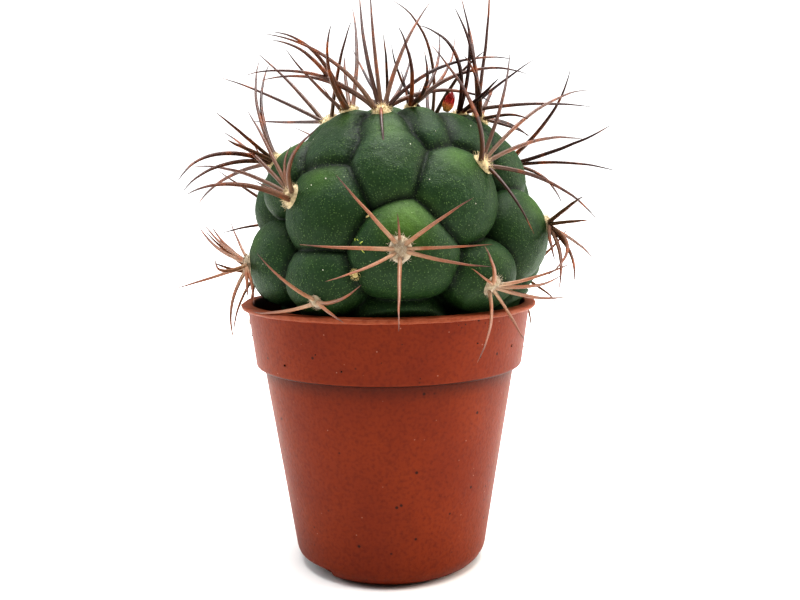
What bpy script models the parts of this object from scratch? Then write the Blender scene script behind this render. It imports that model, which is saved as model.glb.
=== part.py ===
"""Young round cactus in a small nursery pot.

A turned plastic pot with a collar and drainage slots holds potting soil. The stem, a ball of
rounded tubercles with a short taproot, sits in a socket in the soil. Each tubercle carries a
felt cushion with curved spines, and the crown carries wool and one flower bud.

Metres, +Z up. The origin is the centre of the pot's base and -Y is the front.
"""

import math

import bpy
import numpy as np
from mathutils import Vector

MM = 0.001
GAP = 0.3 * MM  # between pieces that touch in the real object

# Pot
LIP_RADIUS = 27.5 * MM
POT_HEIGHT = 49.5 * MM
LIP_THICKNESS = 0.9 * MM
LIP_OVERHANG = 1.3 * MM
WALL = 0.9 * MM
COLLAR_HEIGHT = 11.8 * MM
COLLAR_TAPER = 1.3 * MM
COLLAR_TOP_RADIUS = LIP_RADIUS - LIP_OVERHANG
COLLAR_BOTTOM_RADIUS = COLLAR_TOP_RADIUS - COLLAR_TAPER
COLLAR_STEP = 1.5 * MM  # how far the collar stands out from the body below it
COLLAR_FILLET = 0.7 * MM
BASE_RADIUS = 0.64 * LIP_RADIUS
BASE_FILLET = 4.0 * MM
POT_SIDES = 46

# Drainage
SLOT_HEIGHT = 2.4 * MM
SLOT_AZIMUTHS = (-75, 105)  # degrees from the front, turning right
SLOT_WIDTH = 76  # degrees
SLOT_REACH = 0.75  # how much of the rounded bottom edge the slot cuts away, inwards
SLOT_STEPS = 6
HOLE_RADIUS = 1.9 * MM
HOLE_CIRCLE = 8.0 * MM
HOLE_COUNT = 5
HOLE_SIDES = 12

# Soil
SOIL_DEPTH = 6.0 * MM  # from the lip down to the soil
SOIL_CROWN = 0.8 * MM  # how much the soil rises towards the stem
SOCKET_GAP = 0.6 * MM  # the soil has shrunk back from the stem

# Stem
STEM_RADIUS = 28.3 * MM  # from the ball's centre to the tips of the tubercles
STEM_RISE = 9.1 * MM  # the ball's centre above the lip
STEM_SHIFT = 1.8 * MM  # the ball stands a little to the right in its pot
CORE_RADIUS = STEM_RADIUS - 6.8 * MM  # no crease is deeper
TUBERCLE_DEPTH = 9.0 * MM  # from a tubercle's tip down to its edge
TUBERCLE_SPREAD = 1.16  # all tubercles wider together, which makes the creases shallower
PLUMPNESS = 2.5  # 2 is an ellipsoid, more is fuller with steeper sides
CREASE_BLEND = 0.3 * MM
RIM_CLEARANCE = 0.8 * MM  # between the stem and the pot's wall
LIP_SWELL = 0.9  # how fast the stem may swell out again above the lip, per unit of height
TAPROOT_LENGTH = 15.0 * MM
TAPROOT_SWING = 7.0  # degrees off the vertical, at the ball's centre, where it is a third as long
STEM_MERIDIANS = 72
BALL_PARALLELS = 42
ROOT_LATITUDE = -72  # below it the parallels are closer, to shape the taproot
ROOT_PARALLELS = 8

# Felt cushions and spines
CUSHION_WIDTH = 2.0 * MM  # half width
CUSHION_LENGTH = 2.5 * MM  # half length along the rib
CUSHION_HEIGHT = 1.3 * MM
CUSHION_FACETS = ((1.0, 0.0), (1.0, 0.35), (0.72, 0.85), (0.35, 1.0))  # shares of width and height
SEAT_SHARE = 0.86  # spines leave the felt's shoulder, between the second and third facet
SEAT_HEIGHT = 0.6
SEAT_SPACING = 24  # least clock degrees between two spines where they leave the felt
SEAT_ROUNDS = 40  # rounds of moving crowded spines apart
SEAT_HALF_WIDTH = 9
WIDEST_SECTOR = 40  # the felt between two spines has a corner at least this often
SPINE_BASE = 0.34 * MM  # radius where it leaves the felt
SPINE_TIP = 0.10 * MM
SPINE_COLLAR = 0.8 * MM  # from the felt to the first section of a spine
SPINE_SQUARE = 0.7  # half the side of a spine's square section, per unit of radius
SPINE_STEPS = 4
SPINE_CLEARANCE = 0.35 * MM
FOOT_CLEARANCE = 0.04 * MM  # between spines of one areole, close to the felt
STEEPEST = 84  # degrees off the skin
SHRINKS = (1.0, 0.9, 0.8, 0.65, 0.5, 0.35)  # what a spine may do to keep clear, in order
LIFT_CHANGES = (0, 6, -6, 12, 18, 24)
CLOCK_CHANGES = (0, 5, -5, 10, -10, 16, -16)
SAMPLES_PER_STEP = 6
SAMPLES_AT_FOOT = 6  # samples of a spine that may lie close to its own felt and neighbours

# Crown
CROWN_AZIMUTH = 64
CROWN_LATITUDE = 81
WOOL_RADIUS = 2.6 * MM
WOOL_HEIGHT = 2.0 * MM
WOOL_GAP = 0.7 * MM  # the wool spans the creases of the crown
BUD_AZIMUTH = 52
BUD_LATITUDE = 66
BUD_GAP = 0.5 * MM
BUD_RADIUS = 1.1 * MM
BUD_LENGTH = 3.6 * MM

# Tubercles, as rib letter and place on the rib. Each is one or two lobes of azimuth and latitude in
# degrees, half width and half length in mm, and how much wider the lobe is below than above
TUBERCLES = {
    "a1": [(0, -30, 9.6, 7.6, 0)],
    "a2": [(2.5, 4.5, 10.6, 9.8, 0.38)],
    "a3": [(-4, 40, 8.4, 10.4, 0), (-7, 53, 7.8, 8.4, 0)],
    "b2": [(36, -8, 8, 7.2, 0)],
    "b3": [(26.5, 27, 9.2, 10.6, 0)],
    "b4": [(20, 57, 7, 9, 0)],
    "c1": [(72, -32, 9.6, 8.4, 0)],
    "c2": [(66, 8, 10, 9.2, 0)],
    "c3": [(80, 44, 8.6, 10.4, 0.1), (78, 56, 6.6, 7.4, 0)],
    "d2": [(108, -9, 9.6, 8.8, 0)],
    "d3": [(112, 28, 9.2, 9.8, 0)],
    "e1": [(158, -34, 9.4, 8.4, 0)],
    "e2": [(148, 8, 9.8, 9.4, 0)],
    "e3": [(146, 43, 8.8, 10.4, 0.1), (148, 56, 6.6, 7.4, 0)],
    "f2": [(-173, -8, 9.8, 8.8, 0)],
    "f3": [(-172, 27, 9, 9.8, 0)],
    "g1": [(-121, -34, 9.4, 8.4, 0)],
    "g2": [(-134, 8, 9.8, 9.4, 0)],
    "g3": [(-122, 43, 9, 10.4, 0.1), (-118, 56, 6.6, 7.4, 0)],
    "h1": [(-98, -7, 9.4, 8.8, 0)],
    "h2": [(-62, -3, 9.4, 8.6, 0.1)],
    "h3": [(-64, 34, 9, 8.6, 0)],
    "h4": [(-99, 24, 8.8, 9.2, 0)],
    "i2": [(-31, -9, 8.8, 7.4, 0)],
    "i3": [(-31, 21, 9.4, 10.2, 0.05)],
    "i4": [(-34, 47, 8.2, 10, 0), (-37, 56, 7, 7.6, 0)],
    "j4": [(45, 53, 8.2, 9, 0)],
    "k4": [(-165, 68, 8, 8.6, 0)],
}

# Areoles: azimuth and latitude in degrees, size of the felt cushion, and which spines grow there
AREOLES = {
    "a2": (1, 4, 1, "a2"),
    "a3": (-11, 62, 0.95, "a3"),
    "b2": (34, -9, 0.8, "b2"),
    "b3": (39, 34, 1, "b3"),
    "b4": (14, 69, 0.6, "crown"),
    "c2": (73, 10, 0.8, "c2"),
    "c3": (78, 57, 0.8, "top"),
    "d2": (114, -11, 0.7, "low"),
    "d3": (118, 34, 0.9, "d3"),
    "e2": (150, 11, 0.9, "side"),
    "e3": (150, 60, 0.9, "top"),
    "f2": (-172, -10, 0.7, "low"),
    "f3": (-171, 33, 0.9, "high"),
    "g2": (-132, 10, 0.9, "side"),
    "g3": (-116, 60, 0.9, "top"),
    "h1": (-101, -9, 0.7, "low"),
    "h2": (-69, -3, 0.8, "h2"),
    "h3": (-72, 36, 0.8, "h3"),
    "i2": (-29, -14, 0.6, "i2"),
    "i3": (-43, 22, 1, "i3"),
    "i4": (-42, 64, 0.85, "i4"),
    "j4": (71, 64, 0.7, "j4"),
    "k4": (-165, 76, 0.6, "crown"),
}

# Spines of each kind of areole: clock angle seen from outside (0 is up the rib), lift off the skin
# and length in mm, how far the spine curls back towards the stem, and how far it sways clockwise
SPINES = {
    "low": [
        (42, 34, 14, 22, 0), (85, 26, 16, 30, 0), (140, 30, 12, 24, 0), (200, 34, 12, 22, 0),
        (258, 26, 14, 30, 0), (320, 34, 14, 22, 0), (356, 42, 9, 10, 0),
    ],
    "side": [
        (8, 52, 19, 26, 0), (52, 40, 19, 30, 0), (92, 28, 17, 34, 0), (134, 28, 15, 36, 0),
        (182, 30, 14, 34, 0), (228, 28, 15, 36, 0), (272, 30, 18, 34, 0), (318, 44, 20, 28, 0),
    ],
    "high": [
        (34, 50, 21, 26, 0), (74, 36, 20, 30, 0), (116, 28, 17, 32, 0), (176, 26, 14, 30, 0),
        (236, 30, 16, 32, 0), (276, 36, 19, 30, 0), (310, 50, 20, 26, 0), (352, 58, 20, 18, 0),
    ],
    "top": [
        (28, 56, 22, 16, 0), (74, 34, 22, 24, 0), (118, 26, 16, 26, 0), (178, 18, 9, 14, 0),
        (236, 28, 16, 26, 0), (276, 30, 21, 22, 0), (306, 50, 22, 20, 0), (350, 62, 23, 12, 0),
    ],
    "crown": [
        (0, 66, 18, 10, 0), (60, 56, 19, 16, 0), (120, 50, 15, 20, 0), (180, 46, 12, 20, 0),
        (240, 50, 15, 20, 0), (300, 56, 19, 16, 0),
    ],
    "a2": [
        (53, 43, 15, 6, 6), (89, 40, 15, 6, -2), (108, 38, 15, 7, -14), (184, 48, 15, 4, -2),
        (240, 46, 15, 5, 18), (271, 32, 16, 9, 3), (318, 36, 16, 8, 1), (355, 39, 5, 6, -1),
    ],
    "a3": [
        (16, 48, 22, 28, 10), (46, 11, 24, 51, 7), (57, 38, 25, 60, 7), (167, 4, 12, 55, 4),
        (232, 68, 24, 45, -2), (272, 49, 24, 60, -11), (287, 39, 22, 56, -12),
        (332, 49, 23, 16, 22), (346, 55, 22, 18, 5),
    ],
    "b2": [
        (79, 24, 14, 31, -7), (95, 16, 16, 41, -16), (108, 18, 16, 29, -18), (140, 8, 14, 26, -5),
        (223, 55, 16, 34, 8), (296, 23, 6, 25, 6), (311, 46, 15, 25, -2),
    ],
    "b3": [
        (30, 38, 20, 29, -3), (52, 37, 28, 35, 32), (74, 30, 22, 31, 23), (120, 29, 22, 49, 10),
        (179, 22, 14, 26, 0), (277, 60, 26, 44, 32),
    ],
    "c2": [
        (119, 28, 18, 24, -5), (235, 32, 20, 39, 11), (236, 19, 18, 27, 2), (245, 36, 22, 67, 9),
        (257, 4, 20, -7, -7), (269, 38, 19, 24, 0), (288, 34, 19, 17, -15),
    ],
    "d3": [
        (252, 37, 22, 28, -7), (260, 36, 24, 20, 24), (261, 7, 22, 45, -12), (289, 46, 24, 40, 30),
    ],
    "h2": [
        (97, 43, 20, 38, -32), (105, 5, 16, -6, 7), (105, 12, 15, 1, 0), (208, 30, 16, 46, 0),
        (244, 54, 16, 13, 11), (289, 37, 17, 37, 9), (295, 24, 15, 22, 0), (297, 30, 15, 23, 1),
    ],
    "h3": [
        (94, 50, 21, 22, 2), (106, 39, 21, 24, -7), (125, 61, 25, 62, 7), (134, 51, 22, 46, 1),
        (227, 34, 20, 40, 8), (319, 51, 22, 40, 5), (320, 48, 22, 45, 5),
    ],
    "i2": [
        (78, 37, 16, 24, -24), (82, 45, 14, 8, 5), (254, 9, 14, 32, 10), (351, 54, 15, 23, 4),
    ],
    "i3": [
        (70, 56, 20, 46, 3), (133, 86, 25, 41, 15), (277, 44, 6, 23, 16), (291, 34, 20, 27, -27),
        (311, 27, 19, 23, -21), (326, 24, 18, 20, -15), (333, 29, 8, 56, 18),
    ],
    "i4": [
        (140, 71, 26, 49, 29), (145, 41, 28, 7, -32), (165, 86, 21, 65, 9), (220, 60, 14, -12, -1),
        (321, 27, 22, 26, -2), (347, 41, 23, 9, -27),
    ],
    "j4": [
        (171, 66, 14, 9, 0), (174, 35, 22, 17, 0), (237, 32, 18, 12, 12), (269, 64, 23, 31, 28),
        (278, 62, 24, 72, 17),
    ],
}


def make_material(name, color, roughness, metallic=0.0):
    material = bpy.data.materials.new(name)
    material.use_nodes = True
    shader = material.node_tree.nodes["Principled BSDF"]
    shader.inputs["Base Color"].default_value = (*color, 1.0)
    shader.inputs["Roughness"].default_value = roughness
    shader.inputs["Metallic"].default_value = metallic
    return material


def add_object(name, vertices, faces, material):
    mesh = bpy.data.meshes.new(name)
    mesh.from_pydata([tuple(v) for v in vertices], [], faces)
    mesh.materials.append(material)
    mesh.shade_smooth()
    mesh.set_sharp_from_angle(angle=math.radians(40))
    obj = bpy.data.objects.new(name, mesh)
    bpy.context.scene.collection.objects.link(obj)
    return obj


def cut(obj, cutter):
    """Takes cutter away from obj with an exact Boolean."""
    cutter.hide_render = True
    cutter.display_type = "WIRE"
    modifier = obj.modifiers.new("cut_" + cutter.name, "BOOLEAN")
    modifier.operation = "DIFFERENCE"
    modifier.solver = "EXACT"
    modifier.object = cutter


def lathe(outline, sides):
    """Turns a closed outline of (radius, height) points, listed anticlockwise with the axis on
    the left, into vertices and faces. Points on the axis become single vertices."""
    vertices, rings = [], []
    for radius, height in outline:
        if radius == 0:
            rings.append([len(vertices)] * sides)
            vertices.append((0, 0, height))
            continue
        rings.append([len(vertices) + i for i in range(sides)])
        for i in range(sides):
            turn = 2 * math.pi * i / sides
            vertices.append((radius * math.cos(turn), radius * math.sin(turn), height))
    faces = []
    for k in range(len(rings)):
        low, high = rings[k], rings[(k + 1) % len(rings)]
        for i in range(sides):
            j = (i + 1) % sides
            corners = [low[i], low[j], high[j], high[i]]
            face = list(dict.fromkeys(corners))
            if len(face) > 2:
                faces.append(face)
    return vertices, faces


def arc(centre, radius, start, end, steps):
    """Points on a circular arc, angles in degrees from +radius towards +height."""
    points = []
    for i in range(steps + 1):
        angle = math.radians(start + (end - start) * i / steps)
        points.append((centre[0] + radius * math.cos(angle), centre[1] + radius * math.sin(angle)))
    return points


def body_top():
    """Radius and height where the pot's body meets the underside of its collar."""
    return COLLAR_BOTTOM_RADIUS - COLLAR_STEP, POT_HEIGHT - COLLAR_HEIGHT


def body_radius(height):
    """Outer radius of the pot's tapering body."""
    top_radius, top_height = body_top()
    return BASE_RADIUS + (top_radius - BASE_RADIUS) * height / top_height


def inner_radius(height):
    """Inner radius of the pot at a height."""
    top_height = body_top()[1]
    if height < top_height:
        return body_radius(height) - WALL
    rise = min(1.0, (height - top_height) / COLLAR_HEIGHT)
    return COLLAR_BOTTOM_RADIUS - WALL + (COLLAR_TOP_RADIUS - COLLAR_BOTTOM_RADIUS) * rise


def base_arc(inset, steps):
    """The rounded bottom edge, from the floor out and up to the wall, inset from the outside."""
    top_radius, top_height = body_top()
    draft = math.atan2(top_radius - BASE_RADIUS, top_height)
    centre_height = BASE_FILLET
    centre_radius = body_radius(centre_height) - BASE_FILLET / math.cos(draft)
    start, end = -90, -math.degrees(draft)
    return arc((centre_radius, centre_height), BASE_FILLET - inset, start, end, steps)


def pot_outline():
    top_radius, top_height = body_top()
    lip_under = POT_HEIGHT - LIP_THICKNESS
    fillet = COLLAR_FILLET
    outside = [(0, 0)] + base_arc(0, 4)
    outside += [(top_radius, top_height)]
    outside += arc((COLLAR_BOTTOM_RADIUS - fillet, top_height + fillet), fillet, -90, 0, 2)
    outside += [(COLLAR_TOP_RADIUS, lip_under), (LIP_RADIUS, lip_under), (LIP_RADIUS, POT_HEIGHT)]
    inside = [(0, WALL)] + base_arc(WALL, 3)
    inside += [(inner_radius(top_height - WALL), top_height - WALL)]
    inside += [(inner_radius(top_height), top_height)]
    inside += [(inner_radius(POT_HEIGHT), POT_HEIGHT)]
    return outside + inside[::-1]


def direction(azimuth, latitude):
    """Unit vector for degrees right of the front and degrees above the horizon."""
    a, b = math.radians(azimuth), math.radians(latitude)
    return np.array([math.sin(a) * math.cos(b), -math.cos(a) * math.cos(b), math.sin(b)])


def stem_centre():
    return np.array([STEM_SHIFT, 0.0, POT_HEIGHT + STEM_RISE])


def tangents(outward):
    """Unit vectors up the rib and to its right, seen from outside."""
    up = np.array([0, 0, 1.0]) - outward * outward[2]
    up /= np.linalg.norm(up)
    return up, np.cross(up, outward)


def lobe_reach(rays, lobe, grow):
    """Distance from the ball's centre along each unit ray to a plump lobe, or 0 beside it."""
    azimuth, latitude, half_width, half_length, taper = lobe
    outward = direction(azimuth, latitude)
    up, right = tangents(outward)
    swing = STEM_RADIUS * np.arccos(np.clip(rays @ outward, -1, 1))
    spread = np.hypot(rays @ right, rays @ up) + 1e-9
    across, along = rays @ right / spread * swing, rays @ up / spread * swing
    length = half_length * MM * TUBERCLE_SPREAD + grow
    width = (half_width * MM * TUBERCLE_SPREAD + grow) * (1 - taper * np.clip(along / length, -1, 1))
    away = np.hypot(across / width, along / length)
    rise = TUBERCLE_DEPTH * np.clip(1 - away**PLUMPNESS, 0, 1) ** (1 / PLUMPNESS)
    return np.where(away < 1, STEM_RADIUS - TUBERCLE_DEPTH + rise + grow, 0.0)


def root_reach(rays, grow):
    """The taproot: the underside of the ball drawn down into a soft point."""
    slack = grow / (CORE_RADIUS + TAPROOT_LENGTH / 2)
    swing = np.maximum(np.arccos(np.clip(-rays[:, 2], -1, 1)) - slack, 0)
    return CORE_RADIUS + grow + TAPROOT_LENGTH * np.exp(-((swing / math.radians(TAPROOT_SWING)) ** 2))


def stem_points(rays, grow=0.0):
    """Points of the stem's skin along unit rays from its centre, thickened by grow."""
    reaches = [np.full(len(rays), CORE_RADIUS + grow)]
    for lobes in TUBERCLES.values():
        reaches += [lobe_reach(rays, lobe, grow) for lobe in lobes]
    reaches.append(root_reach(rays, grow))
    reaches = np.array(reaches)
    longest = reaches.max(0)
    excess = np.exp((reaches - longest) / CREASE_BLEND).sum(0)
    distance = longest + CREASE_BLEND * np.log(excess)
    points = stem_centre() + rays * distance[:, None]
    return press_in(points, RIM_CLEARANCE - grow)


def press_in(points, clearance):
    """Keeps the stem inside the pot's wall, and lets it swell out again above the lip."""
    points = points.copy()
    for p in points:
        above = max(0.0, p[2] - POT_HEIGHT)
        limit = inner_radius(min(p[2], POT_HEIGHT)) - clearance + above * LIP_SWELL
        out = math.hypot(p[0], p[1])
        if out > limit:
            p[:2] *= limit / out
    return points


def stem_mesh(grow=0.0):
    ball = np.linspace(90, ROOT_LATITUDE, BALL_PARALLELS, endpoint=False)[1:]
    root = np.linspace(ROOT_LATITUDE, -90, ROOT_PARALLELS, endpoint=False)
    rays = [(0, 0, 1)]
    for latitude in (*ball, *root):
        for i in range(STEM_MERIDIANS):
            rays.append(direction(360 * i / STEM_MERIDIANS, latitude))
    rays.append((0, 0, -1))
    points = stem_points(np.array(rays, float), grow)
    last = len(rays) - 1
    faces = []
    for i in range(STEM_MERIDIANS):
        j = (i + 1) % STEM_MERIDIANS
        faces.append([0, 1 + i, 1 + j])
        faces.append([last, last - STEM_MERIDIANS + j, last - STEM_MERIDIANS + i])
        for top in range(1, last - STEM_MERIDIANS, STEM_MERIDIANS):
            low = top + STEM_MERIDIANS
            faces.append([top + i, low + i, low + j, top + j])
    return points, faces


def soil_outline():
    """The soil fills the pot with a gap to the wall and floor, and rises towards the stem."""
    surface = POT_HEIGHT - SOIL_DEPTH
    top_height = body_top()[1]
    outline = [(0, WALL + GAP)] + base_arc(WALL + GAP, 3)
    outline += [(inner_radius(top_height - WALL) - GAP, top_height - WALL)]
    outline += [(inner_radius(top_height) - GAP, top_height + GAP)]
    outline += [(inner_radius(surface) - GAP, surface), (0, surface + SOIL_CROWN)]
    return outline


def skin_point(ray):
    """The point of the stem's skin along a ray from the ball's centre."""
    return stem_points((ray / np.linalg.norm(ray))[None, :])[0]


def cushion_point(outward, scale, clock, share, height):
    """A point over a felt cushion: share of the way from its middle to its edge at a clock
    angle, and a height above the skin as a share of the cushion's own height."""
    up, right = tangents(outward)
    turn = math.radians(clock)
    offset = up * math.cos(turn) * CUSHION_LENGTH + right * math.sin(turn) * CUSHION_WIDTH
    ray = outward * STEM_RADIUS + offset * scale * share
    return skin_point(ray) + outward * (GAP + CUSHION_HEIGHT * scale * height)


def spread_seats(clocks):
    """Where spines leave the felt: their own clock angles, in order, moved apart where crowded."""
    seats = list(clocks)
    for _ in range(SEAT_ROUNDS):
        for k in range(len(seats)):
            following = (k + 1) % len(seats)
            apart = (seats[following] - seats[k] + SEAT_SPACING) % 360 - SEAT_SPACING
            push = max(0.0, SEAT_SPACING - apart) / 2
            seats[k] -= push
            seats[following] += push
    return seats


def spine_path(outward, scale, seat, spine):
    """Points along a spine from the felt to its tip. It bends evenly back towards the skin."""
    clock, lift, length, curl, sway = spine
    up, right = tangents(outward)
    points = [cushion_point(outward, scale, seat, SEAT_SHARE, SEAT_HEIGHT)]
    for k in range(SPINE_STEPS):
        share = (k + 0.5) / SPINE_STEPS
        turn = math.radians(clock + sway * share)
        angle = math.radians(lift - curl * share)
        along = up * math.cos(turn) + right * math.sin(turn)
        step = along * math.cos(angle) + outward * math.sin(angle)
        points.append(points[-1] + step * length / SPINE_STEPS)
    return np.array(points)


def dense(path, steps=SAMPLES_PER_STEP):
    """More points along a path, for measuring distances."""
    shares = np.linspace(0, 1, steps, endpoint=False)
    pieces = [path[k] + (path[k + 1] - path[k]) * shares[:, None] for k in range(len(path) - 1)]
    return np.vstack(pieces + [path[-1:]])


def is_clear(samples, grown, owner, scale):
    """Whether a spine keeps clear of the stem, the pot and what has grown before it."""
    away = samples[SAMPLES_AT_FOOT:]
    margin = SPINE_BASE + SPINE_CLEARANCE
    offsets = away - stem_centre()
    distances = np.linalg.norm(offsets, axis=1)
    skin = np.linalg.norm(stem_points(offsets / distances[:, None]) - stem_centre(), axis=1)
    if (distances < skin + margin).any():
        return False
    out = np.hypot(away[:, 0], away[:, 1])
    beside = (out > COLLAR_BOTTOM_RADIUS - WALL - margin) & (out < LIP_RADIUS + margin)
    if (beside & (away[:, 2] < POT_HEIGHT + margin)).any():
        return False
    if ((out < LIP_RADIUS) & (away[:, 2] < POT_HEIGHT - SOIL_DEPTH + SOIL_CROWN + margin)).any():
        return False
    for other_owner, other, radius in grown:
        near = np.linalg.norm(samples[1:, None, :] - other[None, 1:, :], axis=2)
        if other_owner is owner:
            if near.min() < 2 * math.sqrt(2) * SPINE_SQUARE * SPINE_BASE * scale + FOOT_CLEARANCE:
                return False
            near = near[SAMPLES_AT_FOOT:, SAMPLES_AT_FOOT:]
        if near.min() < margin + radius:
            return False
    return True


def fit_spine(outward, scale, seat, spine, grown):
    """The nearest pose to the wanted one in which the spine keeps clear, or a shorter spine."""
    clock, lift, length, curl, sway = spine
    for shrink in SHRINKS:
        for lift_change in LIFT_CHANGES:
            for clock_change in CLOCK_CHANGES:
                steep = min(STEEPEST, lift + lift_change)
                tried = (clock + clock_change, steep, length * MM * shrink,
                         curl * shrink, sway * shrink)
                path = spine_path(outward, scale, seat, tried)
                if is_clear(dense(path), grown, outward, scale):
                    return path
    return None


def cluster_mesh(outward, scale, spines):
    """One closed body: a felt cushion with a spine growing out of each of its sectors. spines
    holds (seat, path) pairs in clock order."""
    clocks, ports = [], {}
    for k, (seat, path) in enumerate(spines):
        ports[len(clocks)] = (seat, path)
        clocks.append(seat - SEAT_HALF_WIDTH)
        following = spines[k + 1][0] if k + 1 < len(spines) else spines[0][0] + 360
        start, end = seat + SEAT_HALF_WIDTH, following - SEAT_HALF_WIDTH
        sectors = math.ceil((end - start) / WIDEST_SECTOR)
        clocks += [start + (end - start) * m / sectors for m in range(sectors)]
    vertices = [cushion_point(outward, scale, 0, 0, 0), cushion_point(outward, scale, 0, 0, 1)]
    rings = []
    for share, height in CUSHION_FACETS:
        rings.append([len(vertices) + i for i in range(len(clocks))])
        for clock in clocks:
            vertices.append(cushion_point(outward, scale, clock, share, height))
    faces = []
    count = len(clocks)
    for i in range(count):
        j = (i + 1) % count
        port = [rings[1][i], rings[2][i], rings[2][j], rings[1][j]]
        faces.append([0, rings[0][i], rings[0][j]])
        faces.append([rings[0][i], rings[1][i], rings[1][j], rings[0][j]])
        faces.append([rings[2][i], rings[3][i], rings[3][j], rings[2][j]])
        faces.append([1, rings[3][j], rings[3][i]])
        if i in ports:
            grow_spine(vertices, faces, port, outward, scale, *ports[i])
        else:
            faces.append(port)
    return vertices, faces


def grow_spine(vertices, faces, port, outward, scale, seat, path):
    """Adds a tapering square spine from a port, which is four corners of the felt, to its tip."""
    up, right = tangents(outward)
    turn = math.radians(seat)
    beside = right * math.cos(turn) - up * math.sin(turn)
    ways = [b - a for a, b in zip(path, path[1:])]
    ways = [way / np.linalg.norm(way) for way in ways]
    centres = [path[0] + ways[0] * SPINE_COLLAR * scale, *path[1:-1]]
    for k, centre in enumerate(centres):
        ahead = ways[0] if k == 0 else ways[k - 1] + ways[k]
        ahead = ahead / np.linalg.norm(ahead)
        side = beside - ahead * (beside @ ahead)
        side /= np.linalg.norm(side)
        lift = np.cross(side, ahead)
        taper = k / len(centres)
        radius = (SPINE_BASE * scale * (1 - taper) + SPINE_TIP * taper) * SPINE_SQUARE
        ring = [len(vertices) + c for c in range(4)]
        for a, b in ((-1, -1), (-1, 1), (1, 1), (1, -1)):
            vertices.append(centre + (side * a + lift * b) * radius)
        for c in range(4):
            d = (c + 1) % 4
            faces.append([port[c], port[d], ring[d], ring[c]])
        port = ring
    vertices.append(path[-1])
    for c in range(4):
        faces.append([port[c], port[(c + 1) % 4], len(vertices) - 1])


def wool_mesh(outward, sides=16):
    """A low dome of wool that follows the skin under it."""
    up, right = tangents(outward)
    vertices, rings = [skin_point(outward) + outward * WOOL_GAP], []
    for share, height in ((1.0, 0.0), (1.0, 0.3), (0.75, 0.75), (0.4, 0.95)):
        rings.append([len(vertices) + i for i in range(sides)])
        for i in range(sides):
            turn = 2 * math.pi * i / sides
            offset = (up * math.cos(turn) + right * math.sin(turn)) * WOOL_RADIUS * share
            foot = skin_point(outward * STEM_RADIUS + offset)
            vertices.append(foot + outward * (WOOL_GAP + WOOL_HEIGHT * height))
    top = len(vertices)
    vertices.append(skin_point(outward) + outward * (WOOL_GAP + WOOL_HEIGHT))
    faces = []
    for i in range(sides):
        j = (i + 1) % sides
        faces += [[0, rings[0][i], rings[0][j]], [rings[-1][i], top, rings[-1][j]]]
        for low, high in zip(rings, rings[1:]):
            faces.append([low[i], high[i], high[j], low[j]])
    return vertices, faces


def bud_mesh(outward, sides=12):
    """A closed bud that stands on the skin."""
    foot = skin_point(outward) + outward * BUD_GAP
    up, right = tangents(outward)
    outline = [(0, 0), (0.6, 0), (1, 0.3), (0.9, 0.6), (0.5, 0.88), (0, 1)]
    turned, faces = lathe([(r * BUD_RADIUS, z * BUD_LENGTH) for r, z in outline], sides)
    return [foot + right * x + up * y + outward * z for x, y, z in turned], faces


def slot_cutter(name, azimuth, material):
    """A wedge through the pot's bottom edge, open outwards and downwards."""
    steps = SLOT_STEPS
    inner, outer = BASE_RADIUS - BASE_FILLET * SLOT_REACH, LIP_RADIUS
    vertices = []
    for height in (-SLOT_HEIGHT, SLOT_HEIGHT):
        for radius in (inner, outer):
            for k in range(steps + 1):
                turn = azimuth - SLOT_WIDTH / 2 + SLOT_WIDTH * k / steps
                x, y, _ = direction(turn, 0) * radius
                vertices.append((x, y, height))
    row = steps + 1
    faces = []
    for k in range(steps):
        a, b, c, d = k, k + row, k + 2 * row, k + 3 * row
        faces += [[a, a + 1, b + 1, b], [c, d, d + 1, c + 1]]
        faces += [[a, c, c + 1, a + 1], [b, b + 1, d + 1, d]]
    faces += [[0, row, 3 * row, 2 * row], [steps, 2 * row + steps, 3 * row + steps, row + steps]]
    return add_object(name, vertices, faces, material)


def hole_cutter(name, azimuth, material):
    x, y, _ = direction(azimuth, 0) * HOLE_CIRCLE
    outline = [(0, -WALL), (HOLE_RADIUS, -WALL), (HOLE_RADIUS, 2 * WALL), (0, 2 * WALL)]
    vertices, faces = lathe(outline, HOLE_SIDES)
    moved = [(vx + x, vy + y, vz) for vx, vy, vz in vertices]
    return add_object(name, moved, faces, material)


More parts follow.
